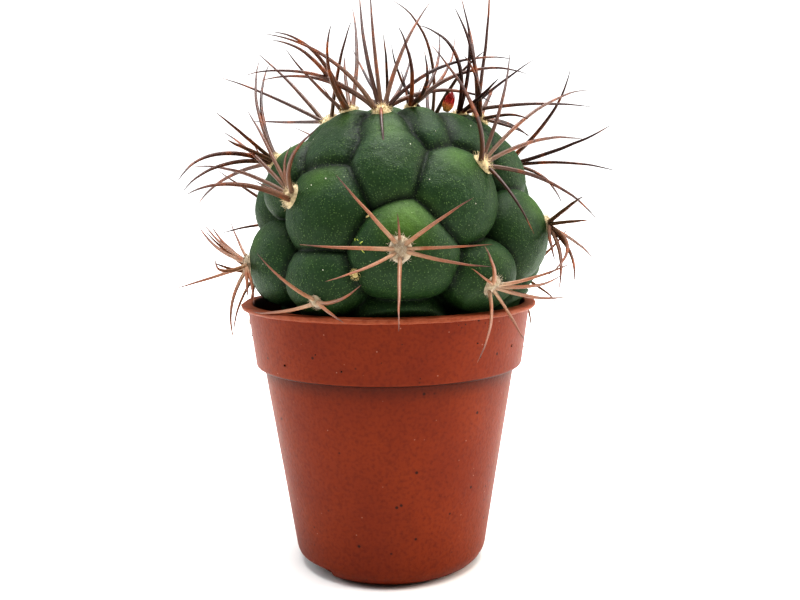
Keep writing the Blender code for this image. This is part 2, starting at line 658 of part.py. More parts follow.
def build():
    for obj in list(bpy.data.objects):
        bpy.data.objects.remove(obj)

    plastic = make_material("moulded_polypropylene", (0.28, 0.065, 0.03), 0.45)
    peat = make_material("peat_soil", (0.012, 0.009, 0.007), 0.95)
    skin = make_material("cactus_skin", (0.045, 0.12, 0.035), 0.6)
    felt = make_material("felt_and_spines", (0.2, 0.07, 0.035), 0.6)
    wool = make_material("crown_wool", (0.6, 0.5, 0.3), 0.9)
    petal = make_material("bud_scales", (0.5, 0.03, 0.02), 0.5)

    pot = add_object("pot", *lathe(pot_outline(), POT_SIDES), plastic)
    for k, azimuth in enumerate(SLOT_AZIMUTHS):
        cut(pot, slot_cutter("slot_%d" % k, azimuth, plastic))
    for k in range(HOLE_COUNT):
        cut(pot, hole_cutter("hole_%d" % k, 360 * k / HOLE_COUNT, plastic))

    add_object("stem", *stem_mesh(), skin)
    soil = add_object("soil", *lathe(soil_outline(), POT_SIDES), peat)
    cut(soil, add_object("socket", *stem_mesh(SOCKET_GAP), peat))

    crown = direction(CROWN_AZIMUTH, CROWN_LATITUDE)
    add_object("crown_wool", *wool_mesh(crown), wool)
    bud_way = direction(BUD_AZIMUTH, BUD_LATITUDE)
    add_object("flower_bud", *bud_mesh(bud_way), petal)
    foot = skin_point(bud_way)
    bud_axis = dense(np.array([foot, foot + bud_way * (BUD_GAP + BUD_LENGTH)]))
    grown = [(bud_way, bud_axis, BUD_RADIUS)]
    for name, (azimuth, latitude, scale, kind) in AREOLES.items():
        outward = direction(azimuth, latitude)
        wanted = SPINES[kind]
        cluster = []
        for seat, spine in zip(spread_seats([spine[0] for spine in wanted]), wanted):
            path = fit_spine(outward, scale, seat, spine, grown)
            if path is not None:
                cluster.append((seat, path))
                grown.append((outward, dense(path), SPINE_BASE))
        add_object("areole_" + name, *cluster_mesh(outward, scale, cluster), felt)


build()
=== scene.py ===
import math
import random

import bmesh
import bpy
import numpy as np
from mathutils import Matrix, Vector, noise


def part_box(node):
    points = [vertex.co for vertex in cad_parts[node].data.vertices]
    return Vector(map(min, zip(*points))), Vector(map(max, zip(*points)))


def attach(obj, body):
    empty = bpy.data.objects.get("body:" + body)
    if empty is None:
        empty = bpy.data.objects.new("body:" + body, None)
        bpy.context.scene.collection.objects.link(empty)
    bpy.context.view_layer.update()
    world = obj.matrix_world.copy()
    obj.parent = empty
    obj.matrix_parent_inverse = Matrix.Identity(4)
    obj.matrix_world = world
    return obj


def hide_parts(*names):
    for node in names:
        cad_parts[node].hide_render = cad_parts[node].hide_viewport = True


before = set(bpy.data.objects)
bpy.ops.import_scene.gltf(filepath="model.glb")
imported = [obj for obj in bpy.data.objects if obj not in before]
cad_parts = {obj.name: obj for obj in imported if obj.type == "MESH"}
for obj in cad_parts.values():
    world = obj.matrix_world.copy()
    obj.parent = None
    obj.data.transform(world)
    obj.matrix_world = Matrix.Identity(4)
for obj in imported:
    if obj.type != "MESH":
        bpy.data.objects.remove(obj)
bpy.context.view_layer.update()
mm = 0.001
noise.seed_set(7)  # or the spines would waver in another way each run
print("frame loaded with", len(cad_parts), "nodes")


# Sizes that the frame gives, in mm
potLow, potHigh = (np.array(corner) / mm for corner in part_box("pot"))
potHeight = potHigh[2]
lipRadius = (potHigh[0] - potLow[0]) / 2
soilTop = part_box("soil")[1][2] / mm

potShape = {
    "lipThickness": 0.9,
    "wall": 0.9,
    "clearance": 0.3,  # between the pot and the soil
    "collarHeight": 11.8,
    "collarTopRadius": 26.2,
    "collarBottomRadius": 24.9,
    "collarStep": 1.5,  # how far the collar stands out from the body
    "collarFillet": 0.7,
    "baseRadius": 17.6,
    "baseFillet": 4.0,
    "slotHeight": 2.4,
    "slotAzimuths": (-75, 105),
    "slotWidth": 76,
    "holeRadius": 1.9,
    "holeCircle": 8.0,
    "holeCount": 5,
    "sides": 240,
    "wobble": 0.12,  # how far the thin lip is out of true
    "lipBend": 0.3,  # the bend where the lip leaves the collar
    "lipRound": 0.35,
    "sharpAngle": 38,  # degrees
}


def innerRadius(height):
    height = np.asarray(height, float)
    bodyTop = potHeight - potShape["collarHeight"]
    topRadius = potShape["collarBottomRadius"] - potShape["collarStep"]
    body = potShape["baseRadius"] + (topRadius - potShape["baseRadius"]) * height / bodyTop
    rise = np.clip((height - bodyTop) / potShape["collarHeight"], 0, 1)
    collar = potShape["collarBottomRadius"]
    collar = collar + (potShape["collarTopRadius"] - potShape["collarBottomRadius"]) * rise
    return np.where(height < bodyTop, body, collar) - potShape["wall"]


# The stem: a ball of tubercles. Angles in degrees, sizes in mm
stemShape = {
    "radius": 28.3,  # from the ball's centre to the tops of the tubercles
    "riseAboveLip": 9.1,  # the ball's centre above the pot's lip
    "shift": 1.8,  # the ball stands a little to the right in its pot
    "coreRadius": 21.5,
    "lobeDepth": 9.0,
    "lobeSpread": 1.16,
    "plumpness": 2.5,  # 2 is an ellipsoid, more is fuller with tighter creases
    "creaseBlend": 0.35,
    "grooveDepth": 0.55,
    "grooveWidth": 0.7,
    "creaseShade": 1.6,  # how fast the painted shade of a crease fades
    "rimClearance": 0.9,
    "lipSwell": 0.9,
    "taprootLength": 15.0,
    "taprootSwing": 7.0,
    "rootLatitude": -52,  # where the ball ends and the hidden taproot begins
    "meridians": 380,
    "ballRows": 215,
    "rootRows": 30,
    "highlightAzimuth": 3,  # painted highlight: the front tubercle's skin is painted paler where light falls on it
    "highlightLatitude": 14,
    "highlightReach": 15,
    "domeReach": 17,
    "domeRise": 9,  # painted light: the upper side of a tubercle, above its middle, is painted the brightest green
    "swell": 0.22,
    "swellSize": 5.5,
    "dimple": 0.07,
    "dimpleSize": 1.8,
}

# Each tubercle is one or two lobes of (azimuth, latitude, half width, half length, taper), and an
# areole of (azimuth, latitude, felt size, kind). Azimuth 0 is the front and turns to the right
tubercles = {
    "a1": ([(0, -30, 9.6, 7.6, 0)], None),
    "a2": ([(2.5, 4.5, 10.6, 9.8, 0.38)], (1, 4, 1.0, "front")),
    "a3": ([(-4, 40, 8.4, 10.4, 0), (-7, 53, 7.8, 8.4, 0)], (-11, 62, 0.95, "top")),
    "b2": ([(36, -8, 8.0, 7.2, 0)], (34, -9, 0.8, "low")),
    "b3": ([(26.5, 27, 9.2, 10.6, 0)], (39, 34, 1.0, "high")),
    "b4": ([(20, 57, 7.0, 9.0, 0)], (14, 69, 0.6, "crown")),
    "c1": ([(72, -32, 9.6, 8.4, 0)], None),
    "c2": ([(66, 8, 10.0, 9.2, 0)], (73, 10, 0.8, "side")),
    "c3": ([(80, 44, 8.6, 10.4, 0.1), (78, 56, 6.6, 7.4, 0)], (78, 57, 0.8, "top")),
    "d2": ([(108, -9, 9.6, 8.8, 0)], (114, -11, 0.7, "low")),
    "d3": ([(112, 28, 9.2, 9.8, 0)], (118, 34, 0.9, "high")),
    "e1": ([(158, -34, 9.4, 8.4, 0)], None),
    "e2": ([(148, 8, 9.8, 9.4, 0)], (150, 11, 0.9, "side")),
    "e3": ([(146, 43, 8.8, 10.4, 0.1), (148, 56, 6.6, 7.4, 0)], (150, 60, 0.9, "top")),
    "f2": ([(-173, -8, 9.8, 8.8, 0)], (-172, -10, 0.7, "low")),
    "f3": ([(-172, 27, 9.0, 9.8, 0)], (-171, 33, 0.9, "high")),
    "g1": ([(-121, -34, 9.4, 8.4, 0)], None),
    "g2": ([(-134, 8, 9.8, 9.4, 0)], (-132, 10, 0.9, "side")),
    "g3": ([(-122, 43, 9.0, 10.4, 0.1), (-118, 56, 6.6, 7.4, 0)], (-116, 60, 0.9, "top")),
    "h1": ([(-98, -7, 9.4, 8.8, 0)], (-101, -9, 0.7, "low")),
    "h2": ([(-62, -3, 9.4, 8.6, 0.1)], (-69, -3, 0.8, "low")),
    "h3": ([(-64, 34, 9.0, 8.6, 0)], (-72, 36, 0.8, "high")),
    "h4": ([(-99, 24, 8.8, 9.2, 0)], None),
    "i2": ([(-31, -9, 8.8, 7.4, 0)], (-29, -14, 0.6, "low")),
    "i3": ([(-31, 21, 9.4, 10.2, 0.05)], (-43, 22, 1.0, "side")),
    "i4": ([(-34, 47, 8.2, 10.0, 0), (-37, 56, 7.0, 7.6, 0)], (-42, 64, 0.85, "top")),
    "j4": ([(45, 53, 8.2, 9.0, 0)], (71, 64, 0.7, "crown")),
    "k4": ([(-165, 68, 8.0, 8.6, 0)], (-165, 76, 0.6, "crown")),
}


stemCentre = np.array([stemShape["shift"], 0.0, potHeight + stemShape["riseAboveLip"]])


def direction(azimuth, latitude):
    a, b = math.radians(azimuth), math.radians(latitude)
    return np.array([math.sin(a) * math.cos(b), -math.cos(a) * math.cos(b), math.sin(b)])


def tangents(outward):
    up = np.array([0, 0, 1.0]) - outward * outward[2]
    up /= np.linalg.norm(up)
    return up, np.cross(up, outward)


def lobeReach(rays, lobe):
    # Distance from the ball's centre along each ray to a plump lobe, wider below if it tapers
    azimuth, latitude, halfWidth, halfLength, taper = lobe
    halfWidth, halfLength = halfWidth * stemShape["lobeSpread"], halfLength * stemShape["lobeSpread"]
    outward = direction(azimuth, latitude)
    up, right = tangents(outward)
    swing = stemShape["radius"] * np.arccos(np.clip(rays @ outward, -1, 1))
    spread = np.hypot(rays @ right, rays @ up) + 1e-9
    across, along = (rays @ right) / spread * swing, (rays @ up) / spread * swing
    width = halfWidth * (1 - taper * np.clip(along / halfLength, -1, 1))
    away = np.hypot(across / width, along / halfLength)
    plump = stemShape["plumpness"]
    rise = stemShape["lobeDepth"] * np.clip(1 - away**plump, 0, 1) ** (1 / plump)
    return np.where(away < 1, stemShape["radius"] - stemShape["lobeDepth"] + rise, 0.0)


def stemField(rays):
    # Distance to the skin along unit rays, and how deep each point lies in a crease, from 0 to 1, used to
    # paint shade into the creases
    core = np.full(len(rays), stemShape["coreRadius"])
    swing = np.arccos(np.clip(-rays[:, 2], -1, 1)) / math.radians(stemShape["taprootSwing"])
    taproot = stemShape["taprootLength"] * np.exp(-(swing**2))
    grown = [core + taproot]
    for lobes, _ in tubercles.values():
        grown.append(np.max([lobeReach(rays, lobe) for lobe in lobes], axis=0))
    grown = np.array(grown)
    order = np.sort(grown, axis=0)
    longest, second = order[-1], order[-2]
    gap = longest - second
    blend = stemShape["creaseBlend"]
    soft = longest + blend * np.log1p(np.exp(-gap / blend))
    groove = np.exp(-((gap / stemShape["grooveWidth"]) ** 2))
    groove = groove * np.clip(rays[:, 2] + 1, 0, 1)
    # Painted shade: the closer two lobes meet, the darker the skin is painted there
    crease = np.exp(-gap / stemShape["creaseShade"])
    return soft - stemShape["grooveDepth"] * groove, crease


def pressIn(points, clearance):
    # Keeps the stem inside the pot's wall, and lets it swell out again above the lip
    above = np.maximum(0.0, points[:, 2] - potHeight)
    limit = innerRadius(np.minimum(points[:, 2], potHeight)) - clearance + above * stemShape["lipSwell"]
    out = np.hypot(points[:, 0], points[:, 1])
    shrink = np.where(out > limit, limit / np.maximum(out, 1e-9), 1.0)
    pressed = points.copy()
    pressed[:, :2] *= shrink[:, None]
    return pressed


def skinPoints(rays):
    distance, crease = stemField(rays)
    points = stemCentre + rays * distance[:, None]
    return pressIn(points, stemShape["rimClearance"]), crease


def skinAt(rays):
    return skinPoints(rays / np.linalg.norm(rays, axis=1)[:, None])[0]


def skinPoint(ray):
    return skinAt(ray[None, :])[0]


def spineLine(outward, foot, spine, steps):
    # A spine leaves the felt at a clock angle (0 is up the rib) and a lift off the skin, curls
    # back towards the stem and may sway to one side. Returns points from the felt to the tip
    clock, lift, length, curl, sway = spine
    up, right = tangents(outward)
    points = [foot]
    for k in range(steps):
        share = (k + 0.5) / steps
        turn = math.radians(clock + sway * share)
        angle = math.radians(lift - curl * share)
        along = up * math.cos(turn) + right * math.sin(turn)
        points.append(points[-1] + (along * math.cos(angle) + outward * math.sin(angle)) * length / steps)
    return np.array(points)


def spineFoot(outward, felt, clock):
    up, right = tangents(outward)
    turn = math.radians(clock)
    offset = up * math.cos(turn) * feltShape["halfLength"] + right * math.sin(turn) * feltShape["halfWidth"]
    foot = skinPoint(outward * stemShape["radius"] + offset * felt * feltShape["spineShare"])
    return foot + outward * feltShape["spineHeight"] * felt


feltShape = {
    "halfWidth": 1.9,
    "halfLength": 2.3,
    "height": 1.1,
    "spineShare": 0.6,  # how far out from the felt's middle the spines stand
    "spineHeight": 0.7,
    "rows": 9,
    "sides": 30,
    "hairs": 170,
    "hairRadius": 0.035,
}

spineShape = {
    "radius": 0.39,
    "tipRadius": 0.03,
    "fullLength": 22,  # shorter spines are thinner
    "waver": 0.16,
    "steps": 16,
    "sides": 8,
}

areoleYouth = {"front": 0.0, "low": 0.05, "side": 0.5, "high": 0.75, "top": 0.85, "crown": 1.0}

# Spine patterns: clock angle seen from outside (0 is up the rib), lift, length and curl
patterns = {
    "low": [
        (320, 34, 14, 22), (42, 34, 14, 22), (85, 26, 16, 30), (258, 26, 14, 30),
        (140, 30, 12, 24), (200, 34, 12, 22), (356, 42, 9, 10),
    ],
    "side": [
        (8, 52, 19, 26), (52, 40, 19, 30), (318, 44, 20, 28), (92, 28, 17, 34),
        (272, 30, 18, 34), (134, 28, 15, 36), (228, 28, 15, 36), (182, 30, 14, 34),
    ],
    "high": [
        (352, 58, 20, 18), (34, 50, 21, 26), (310, 50, 20, 26), (74, 36, 20, 30),
        (276, 36, 19, 30), (116, 28, 17, 32), (236, 30, 16, 32), (176, 26, 14, 30),
    ],
    "top": [
        (350, 62, 23, 12), (28, 56, 22, 16), (306, 50, 22, 20), (74, 34, 22, 24),
        (276, 30, 21, 22), (118, 26, 16, 26), (236, 28, 16, 26), (178, 18, 9, 14),
    ],
    "crown": [
        (0, 66, 18, 10), (60, 56, 19, 16), (120, 50, 15, 20), (180, 46, 12, 20),
        (240, 50, 15, 20), (300, 56, 19, 16),
    ],
}

# Spines of the areoles that show most, fitted to those of the real plant: clock angle, lift, length,
# curl and sway to one side
spineRows = {
    "a2": [
        (318, 36, 15.5, 8, 1), (53, 43, 15.0, 6, 6), (271, 32, 15.5, 9, 3), (89, 40, 15.0, 6, -2),
        (240, 46, 15.0, 5, 18), (108, 38, 15.0, 7, -14), (184, 48, 15.0, 4, -2), (355, 39, 5.0, 6, -1),
    ],
    "a3": [
        (287, 39, 22.5, 56, -12), (272, 49, 23.5, 60, -11), (346, 55, 22.5, 18, 5), (332, 49, 23.0, 16, 22),
        (232, 68, 24.5, 45, -2), (46, 11, 23.5, 51, 7), (57, 38, 25.0, 60, 7), (16, 48, 22.5, 28, 10),
        (167, 4, 12.5, 55, 4),
    ],
    "b3": [
        (277, 60, 26.0, 44, 32), (30, 38, 20.5, 29, -3), (52, 37, 27.5, 35, 32), (74, 30, 21.5, 31, 23),
        (120, 29, 22.5, 49, 10), (179, 22, 14.5, 26, 0),
    ],
    "b2": [
        (311, 46, 15.0, 25, -2), (296, 23, 6.5, 25, 6), (79, 24, 14.5, 31, -7), (95, 16, 15.5, 41, -16),
        (108, 18, 15.5, 29, -18), (140, 8, 13.5, 26, -5), (223, 55, 15.5, 34, 8),
    ],
    "i2": [
        (351, 54, 15.0, 23, 4), (78, 37, 16.0, 24, -24), (254, 9, 14.5, 32, 10), (82, 45, 14.5, 8, 5),
    ],
    "i3": [
        (70, 56, 20.5, 46, 3), (333, 29, 8.5, 56, 18), (326, 24, 18.0, 20, -15), (311, 27, 19.0, 23, -21),
        (291, 34, 20.0, 27, -27), (133, 86, 25.0, 41, 15), (277, 44, 6.0, 23, 16),
    ],
    "h3": [
        (320, 48, 22.0, 45, 5), (319, 51, 22.0, 40, 5), (94, 50, 21.0, 22, 2), (125, 61, 25.0, 62, 7),
        (134, 51, 22.5, 46, 1), (227, 34, 20.5, 40, 8), (106, 39, 21.0, 24, -7),
    ],
    "h2": [
        (289, 37, 17.0, 37, 9), (297, 30, 15.0, 23, 1), (295, 24, 15.0, 22, 0), (97, 43, 20.5, 38, -32),
        (244, 54, 16.0, 13, 11), (208, 30, 16.0, 46, 0), (105, 12, 15.0, 1, 0), (105, 5, 15.5, -6, 7),
    ],
    "c2": [
        (288, 34, 19.0, 17, -15), (269, 38, 19.0, 24, 0), (119, 28, 18.5, 24, -5), (236, 19, 18.5, 27, 2),
        (245, 36, 22.0, 67, 9), (235, 32, 20.0, 39, 11), (257, 4, 19.5, -7, -7),
    ],
    "i4": [
        (140, 71, 25.5, 49, 29), (165, 86, 21.0, 65, 9), (220, 60, 14.0, -12, -1), (347, 41, 23.0, 9, -27),
        (321, 27, 21.5, 26, -2), (145, 41, 28.0, 7, -32),
    ],
    "g3": [
        (181, 79, 20.5, 12, 2), (166, 57, 23.0, 8, 0), (197, 31, 21.5, -3, 1), (31, 32, 21.0, 20, 3),
    ],
    "d3": [
        (289, 46, 24.5, 40, 30), (260, 36, 23.5, 20, 24), (252, 37, 22.0, 28, -7), (261, 7, 21.5, 45, -12),
    ],
    "j4": [
        (171, 66, 14.5, 9, 0), (174, 35, 22.0, 17, 0), (269, 64, 23.0, 31, 28), (278, 62, 24.5, 72, 17),
        (237, 32, 17.5, 12, 12),
    ],
    "e3": [
        (339, 53, 28.0, 72, 32), (317, 28, 22.0, 38, -9), (121, 55, 23.0, -11, 21), (16, 4, 19.0, -12, -32),
    ],
    "k4": [
        (149, 56, 16.5, -8, 8), (11, 37, 17.0, 22, 6), (233, 44, 19.0, -12, -25), (143, 29, 18.5, -12, -1),
    ],
    "b4": [
        (191, 54, 20.5, 12, 31), (176, 27, 24.0, -12, 32), (355, 57, 7.0, 17, -8), (40, 11, 28.0, -12, -32),
        (47, 9, 28.0, -12, -32), (85, 48, 22.5, 66, 4),
    ],
}


def linear(hexColour):
    # An sRGB hex colour as linear light
    channels = [int(hexColour[k:k + 2], 16) / 255 for k in (1, 3, 5)]
    return tuple(c / 12.92 if c <= 0.04045 else ((c + 0.055) / 1.055) ** 2.4 for c in channels) + (1.0,)


def perMetre(size):
    # A texture scale that draws its pattern at a real size in mm
    return 1 / (size * mm)


def addNode(tree, kind, settings=None, links=None):
    # Settings are properties, input values, or the (place, colour or level) stops of a ramp
    node = tree.nodes.new("ShaderNode" + kind)
    for key, value in (settings or {}).items():
        if key == "stops":
            elements = node.color_ramp.elements
            while len(elements) < len(value):
                elements.new(0.5)
            for element, (place, level) in zip(elements, value):
                element.position = place
                element.color = linear(level) if isinstance(level, str) else (level, level, level, 1)
        elif isinstance(key, str) and hasattr(node, key):
            setattr(node, key, value)
        else:
            node.inputs[key].default_value = value
    for key, socket in (links or {}).items():
        tree.links.new(socket, node.inputs[key])
    return node


def newMaterial(name):
    # A material, its node tree and its surface points in metres
    material = bpy.data.materials.new(name)
    material.use_nodes = True
    tree = material.node_tree
    return material, tree, addNode(tree, "TexCoord").outputs["Object"]


def paint(tree, colour, coats):
    # Lays coats over a colour. A coat is the socket that masks it, the mask's (place, amount) stops
    # and its own colour. Colours are hex colours or sockets
    for mask, stops, over in coats:
        amount = addNode(tree, "ValToRGB", {"stops": stops}, {0: mask})
        settings, links = {"data_type": "RGBA"}, {0: amount.outputs[0]}
        for place, value in ((6, colour), (7, over)):
            if isinstance(value, str):
                settings[place] = linear(value)
            else:
                links[place] = value
        colour = addNode(tree, "Mix", settings, links).outputs[2]
    return colour


def finish(tree, colour, gloss, ior, relief):
    # Links the colour, the roughness (a socket with its least and greatest value) and the relief
    # (sockets with their depths in mm) to the shader
    shader = tree.nodes["Principled BSDF"]
    tree.links.new(colour, shader.inputs["Base Color"])
    pattern, least, greatest = gloss
    rough = addNode(tree, "MapRange", {"To Min": least, "To Max": greatest}, {"Value": pattern})
    tree.links.new(rough.outputs[0], shader.inputs["Roughness"])
    shader.inputs["IOR"].default_value = ior
    normal = {}
    for height, depth in relief:
        links = {"Height": height, **normal}
        node = addNode(tree, "Bump", {"Strength": 1.0, "Distance": depth * mm}, links)
        normal = {"Normal": node.outputs[0]}
    tree.links.new(normal["Normal"], shader.inputs["Normal"])
    return shader


whole = [(0.0, 0.0), (1.0, 1.0)]  # a mask used as it is


def makePolypropylene():
    # Terracotta polypropylene, injection moulded: satin, with flow marks, dust and peat specks, painted shade
    # under the collar and a painted glow on the lip, mottled as scuffs
    material, tree, points = newMaterial("moulded polypropylene")
    flow = addNode(tree, "TexNoise", {"Scale": perMetre(14), "Detail": 3.0}, {"Vector": points}).outputs[0]
    grain = addNode(tree, "TexNoise", {"Scale": perMetre(0.6), "Detail": 4.0}, {"Vector": points}).outputs[0]
    dust = addNode(tree, "TexNoise", {"Scale": perMetre(0.9), "Detail": 6.0, "Roughness": 0.7},
                   {"Vector": points}).outputs[0]
    specks = addNode(tree, "TexVoronoi", {"Scale": perMetre(3.2)}, {"Vector": points}).outputs["Distance"]
    paleSpecks = addNode(tree, "TexVoronoi", {"Scale": perMetre(2.3)}, {"Vector": points}).outputs["Distance"]
    wear = addNode(tree, "Attribute", {"attribute_name": "wear"}).outputs["Fac"]
    grime = addNode(tree, "Attribute", {"attribute_name": "grime"}).outputs["Fac"]
    patchy = addNode(tree, "ValToRGB", {"stops": [(0.3, 0.35), (0.6, 1.0)]}, {0: dust}).outputs[0]
    lipGlowAndScuffs = addNode(tree, "Math", {"operation": "MULTIPLY"}, {0: wear, 1: patchy}).outputs[0]
    colour = paint(tree, "#702a0e", [
        (flow, [(0.35, 0.0), (0.7, 1.0)], "#7b320f"),
        (grain, [(0.45, 0.0), (0.75, 0.55)], "#531a07"),
        (dust, [(0.6, 0.0), (0.8, 0.22)], "#834a2c"),
        (paleSpecks, [(0.03, 0.6), (0.07, 0.0)], "#a07868"),
        (specks, [(0.06, 0.9), (0.11, 0.0)], "#2b130c"),
        # painted shade: a dark band just under the collar's step
        (grime, whole, "#2a0d06"),
        # painted light and wear: the lip's edge and top are painted lighter, mottled as scuffs
        (lipGlowAndScuffs, whole, "#8c5038"),
    ])
    shader = finish(tree, colour, (dust, 0.36, 0.56), 1.49, [(grain, 0.05), (flow, 0.25)])
    shader.inputs["Specular IOR Level"].default_value = 0.18
    return material


def makeSkin():
    # Cactus skin, grown with a matt bloom of wax: greyer flanks and pale stomata, with painted light on the
    # tubercles' upper sides, a painted highlight on the front tubercle and painted shade in the creases
    material, tree, points = newMaterial("waxy cactus skin")
    patches = addNode(tree, "TexNoise", {"Scale": perMetre(7), "Detail": 4.0}, {"Vector": points}).outputs[0]
    mottle = addNode(tree, "TexNoise", {"Scale": perMetre(1.1), "Detail": 5.0, "Roughness": 0.65},
                     {"Vector": points}).outputs[0]
    grain = addNode(tree, "TexNoise", {"Scale": perMetre(0.28), "Detail": 3.0}, {"Vector": points}).outputs[0]
    # Real stomata are about 0.1 mm apart: drawn 0.36 mm apart so that they show
    stomata = addNode(tree, "TexVoronoi", {"Scale": perMetre(0.36)}, {"Vector": points}).outputs["Distance"]
    flecks = addNode(tree, "TexVoronoi", {"Scale": perMetre(2.0)}, {"Vector": points}).outputs["Distance"]
    dome = addNode(tree, "Attribute", {"attribute_name": "dome"}).outputs["Fac"]
    pale = addNode(tree, "Attribute", {"attribute_name": "pale"}).outputs["Fac"]
    crease = addNode(tree, "Attribute", {"attribute_name": "crease"}).outputs["Fac"]
    dots = addNode(tree, "ValToRGB", {"stops": [(0.16, 0.75), (0.36, 0.0)]}, {0: stomata}).outputs[0]
    patchy = addNode(tree, "ValToRGB", {"stops": [(0.35, 0.15), (0.7, 1.0)]}, {0: mottle}).outputs[0]
    speckle = addNode(tree, "Math", {"operation": "MULTIPLY"}, {0: dots, 1: patchy}).outputs[0]
    colour = paint(tree, "#213918", [
        (patches, [(0.35, 0.0), (0.65, 1.0)], "#263e23"),
        # painted light on the upper side of each tubercle
        (dome, [(0.35, 0.0), (1.0, 0.85)], "#48681f"),
        # painted highlight on the front tubercle
        (pale, [(0.1, 0.0), (0.9, 0.5)], "#5e7a38"),
        (mottle, [(0.45, 0.0), (0.75, 0.5)], "#182d13"),
        # painted shade in the creases between tubercles
        (crease, [(0.25, 0.0), (1.0, 0.95)], "#0c160e"),
        (speckle, whole, "#66804a"),
        (flecks, [(0.03, 0.7), (0.07, 0.0)], "#9dab84"),
    ])
    relief = [(grain, 0.08), (mottle, 0.18), (patches, 0.5)]
    shader = finish(tree, colour, (mottle, 0.42, 0.62), 1.42, relief)
    shader.inputs["Specular IOR Level"].default_value = 0.32
    return material


def makeHorn():
    # Spines: dry horn, grown in rings. Young ones dark maroon, old ones pinkish buff
    material, tree, points = newMaterial("horny spine")
    along = addNode(tree, "Attribute", {"attribute_name": "along"}).outputs["Fac"]
    youth = addNode(tree, "Attribute", {"attribute_name": "youth"}).outputs["Fac"]
    streaks = addNode(tree, "TexNoise", {"Scale": perMetre(3.5), "Detail": 3.0},
                      {"Vector": points}).outputs[0]
    grain = addNode(tree, "TexNoise", {"Scale": perMetre(0.35), "Detail": 4.0}, {"Vector": points}).outputs[0]
    oldStops = [(0.0, "#b0967c"), (0.3, "#946a50"), (0.75, "#72422b"), (1.0, "#3a1f17")]
    youngStops = [(0.0, "#43200f"), (0.35, "#2f1614"), (0.8, "#351b19"), (1.0, "#1c0e10")]
    old = addNode(tree, "ValToRGB", {"stops": oldStops}, {0: along}).outputs[0]
    young = addNode(tree, "ValToRGB", {"stops": youngStops}, {0: along}).outputs[0]
    colour = paint(tree, old, [
        (youth, whole, young),
        (streaks, [(0.52, 0.0), (0.68, 0.75)], "#8a4a22"),
        (grain, [(0.5, 0.0), (0.8, 0.4)], "#2b1512"),
    ])
    finish(tree, colour, (grain, 0.3, 0.55), 1.54, [(grain, 0.04)])
    return material


def makeFelt(name, freshColour, oldColour):
    # Areole felt: short matted plant hair, cream when fresh and greyer with age
    material, tree, points = newMaterial(name)
    tufts = addNode(tree, "TexNoise", {"Scale": perMetre(0.5), "Detail": 5.0, "Roughness": 0.7},
                    {"Vector": points}).outputs[0]
    youth = addNode(tree, "Attribute", {"attribute_name": "youth"}).outputs["Fac"]
    colour = paint(tree, oldColour, [
        (youth, whole, freshColour),
        (tufts, [(0.4, 0.0), (0.75, 0.6)], "#6f5a42"),
    ])
    shader = finish(tree, colour, (tufts, 0.9, 1.0), 1.5, [(tufts, 0.2)])
    shader.inputs["Sheen Weight"].default_value = 0.4
    return material


def makePeat():
    # Potting peat: loose dark fibres and crumbs, dull all over
    material, tree, points = newMaterial("loose potting peat")
    crumbs = addNode(tree, "TexVoronoi", {"Scale": perMetre(1.2)}, {"Vector": points}).outputs["Distance"]
    fibres = addNode(tree, "TexNoise", {"Scale": perMetre(0.7), "Detail": 6.0, "Roughness": 0.75},
                     {"Vector": points}).outputs[0]
    colour = paint(tree, "#15100c", [
        (fibres, [(0.35, 0.0), (0.7, 1.0)], "#3b2a1e"),
        (crumbs, [(0.1, 0.35), (0.45, 0.0)], "#4c3a2b"),
    ])
    finish(tree, colour, (fibres, 0.9, 1.0), 1.5, [(fibres, 0.35), (crumbs, 0.4)])
    return material


def makeBudScale():
    # Bud scales: smooth living tissue, pale orange below and red towards the tips
    material, tree, points = newMaterial("bud scale tissue")
    veins = addNode(tree, "TexNoise", {"Scale": perMetre(0.4), "Detail": 4.0}, {"Vector": points}).outputs[0]
    along = addNode(tree, "Attribute", {"attribute_name": "along"}).outputs["Fac"]
    stops = [(0.0, "#dcae6c"), (0.3, "#d58a50"), (0.5, "#a82219"), (1.0, "#6f1115")]
    tissue = addNode(tree, "ValToRGB", {"stops": stops}, {0: along}).outputs[0]
    colour = paint(tree, tissue, [(veins, [(0.45, 0.0), (0.8, 0.4)], "#6e1010")])
    finish(tree, colour, (veins, 0.4, 0.5), 1.42, [(veins, 0.06)])
    return material


def makeGrit(name, paleColour, darkColour):
    # Loose bits of grit, chaff and lint, dull and mottled
    material, tree, points = newMaterial(name)
    mottle = addNode(tree, "TexNoise", {"Scale": perMetre(0.35), "Detail": 4.0},
                     {"Vector": points}).outputs[0]
    colour = paint(tree, paleColour, [(mottle, [(0.35, 0.0), (0.65, 1.0)], darkColour)])
    finish(tree, colour, (mottle, 0.8, 0.9), 1.5, [(mottle, 0.12)])
    return material


def makeSweep():
    # White acrylic sweep, cast and sanded matt
    material, tree, points = newMaterial("sanded white acrylic")
    haze = addNode(tree, "TexNoise", {"Scale": perMetre(120), "Detail": 2.0}, {"Vector": points}).outputs[0]
    colour = paint(tree, "#f6f5f3", [(haze, whole, "#fbfaf8")])
    shader = finish(tree, colour, (haze, 0.55, 0.65), 1.49, [(haze, 0.01)])
    shader.inputs["Specular IOR Level"].default_value = 0.2
    # It glows away from the plant, as if it were lit there, and so meets the white without a line
    away = addNode(tree, "VectorMath", {"operation": "LENGTH"}, {0: points})
    glow = addNode(tree, "MapRange", {"From Min": 0.1, "From Max": 0.6, "To Min": 0.0, "To Max": 0.9},
                   {"Value": away.outputs["Value"]})
    tree.links.new(glow.outputs[0], shader.inputs["Emission Strength"])
    shader.inputs["Emission Color"].default_value = linear("#ffffff")
    return material


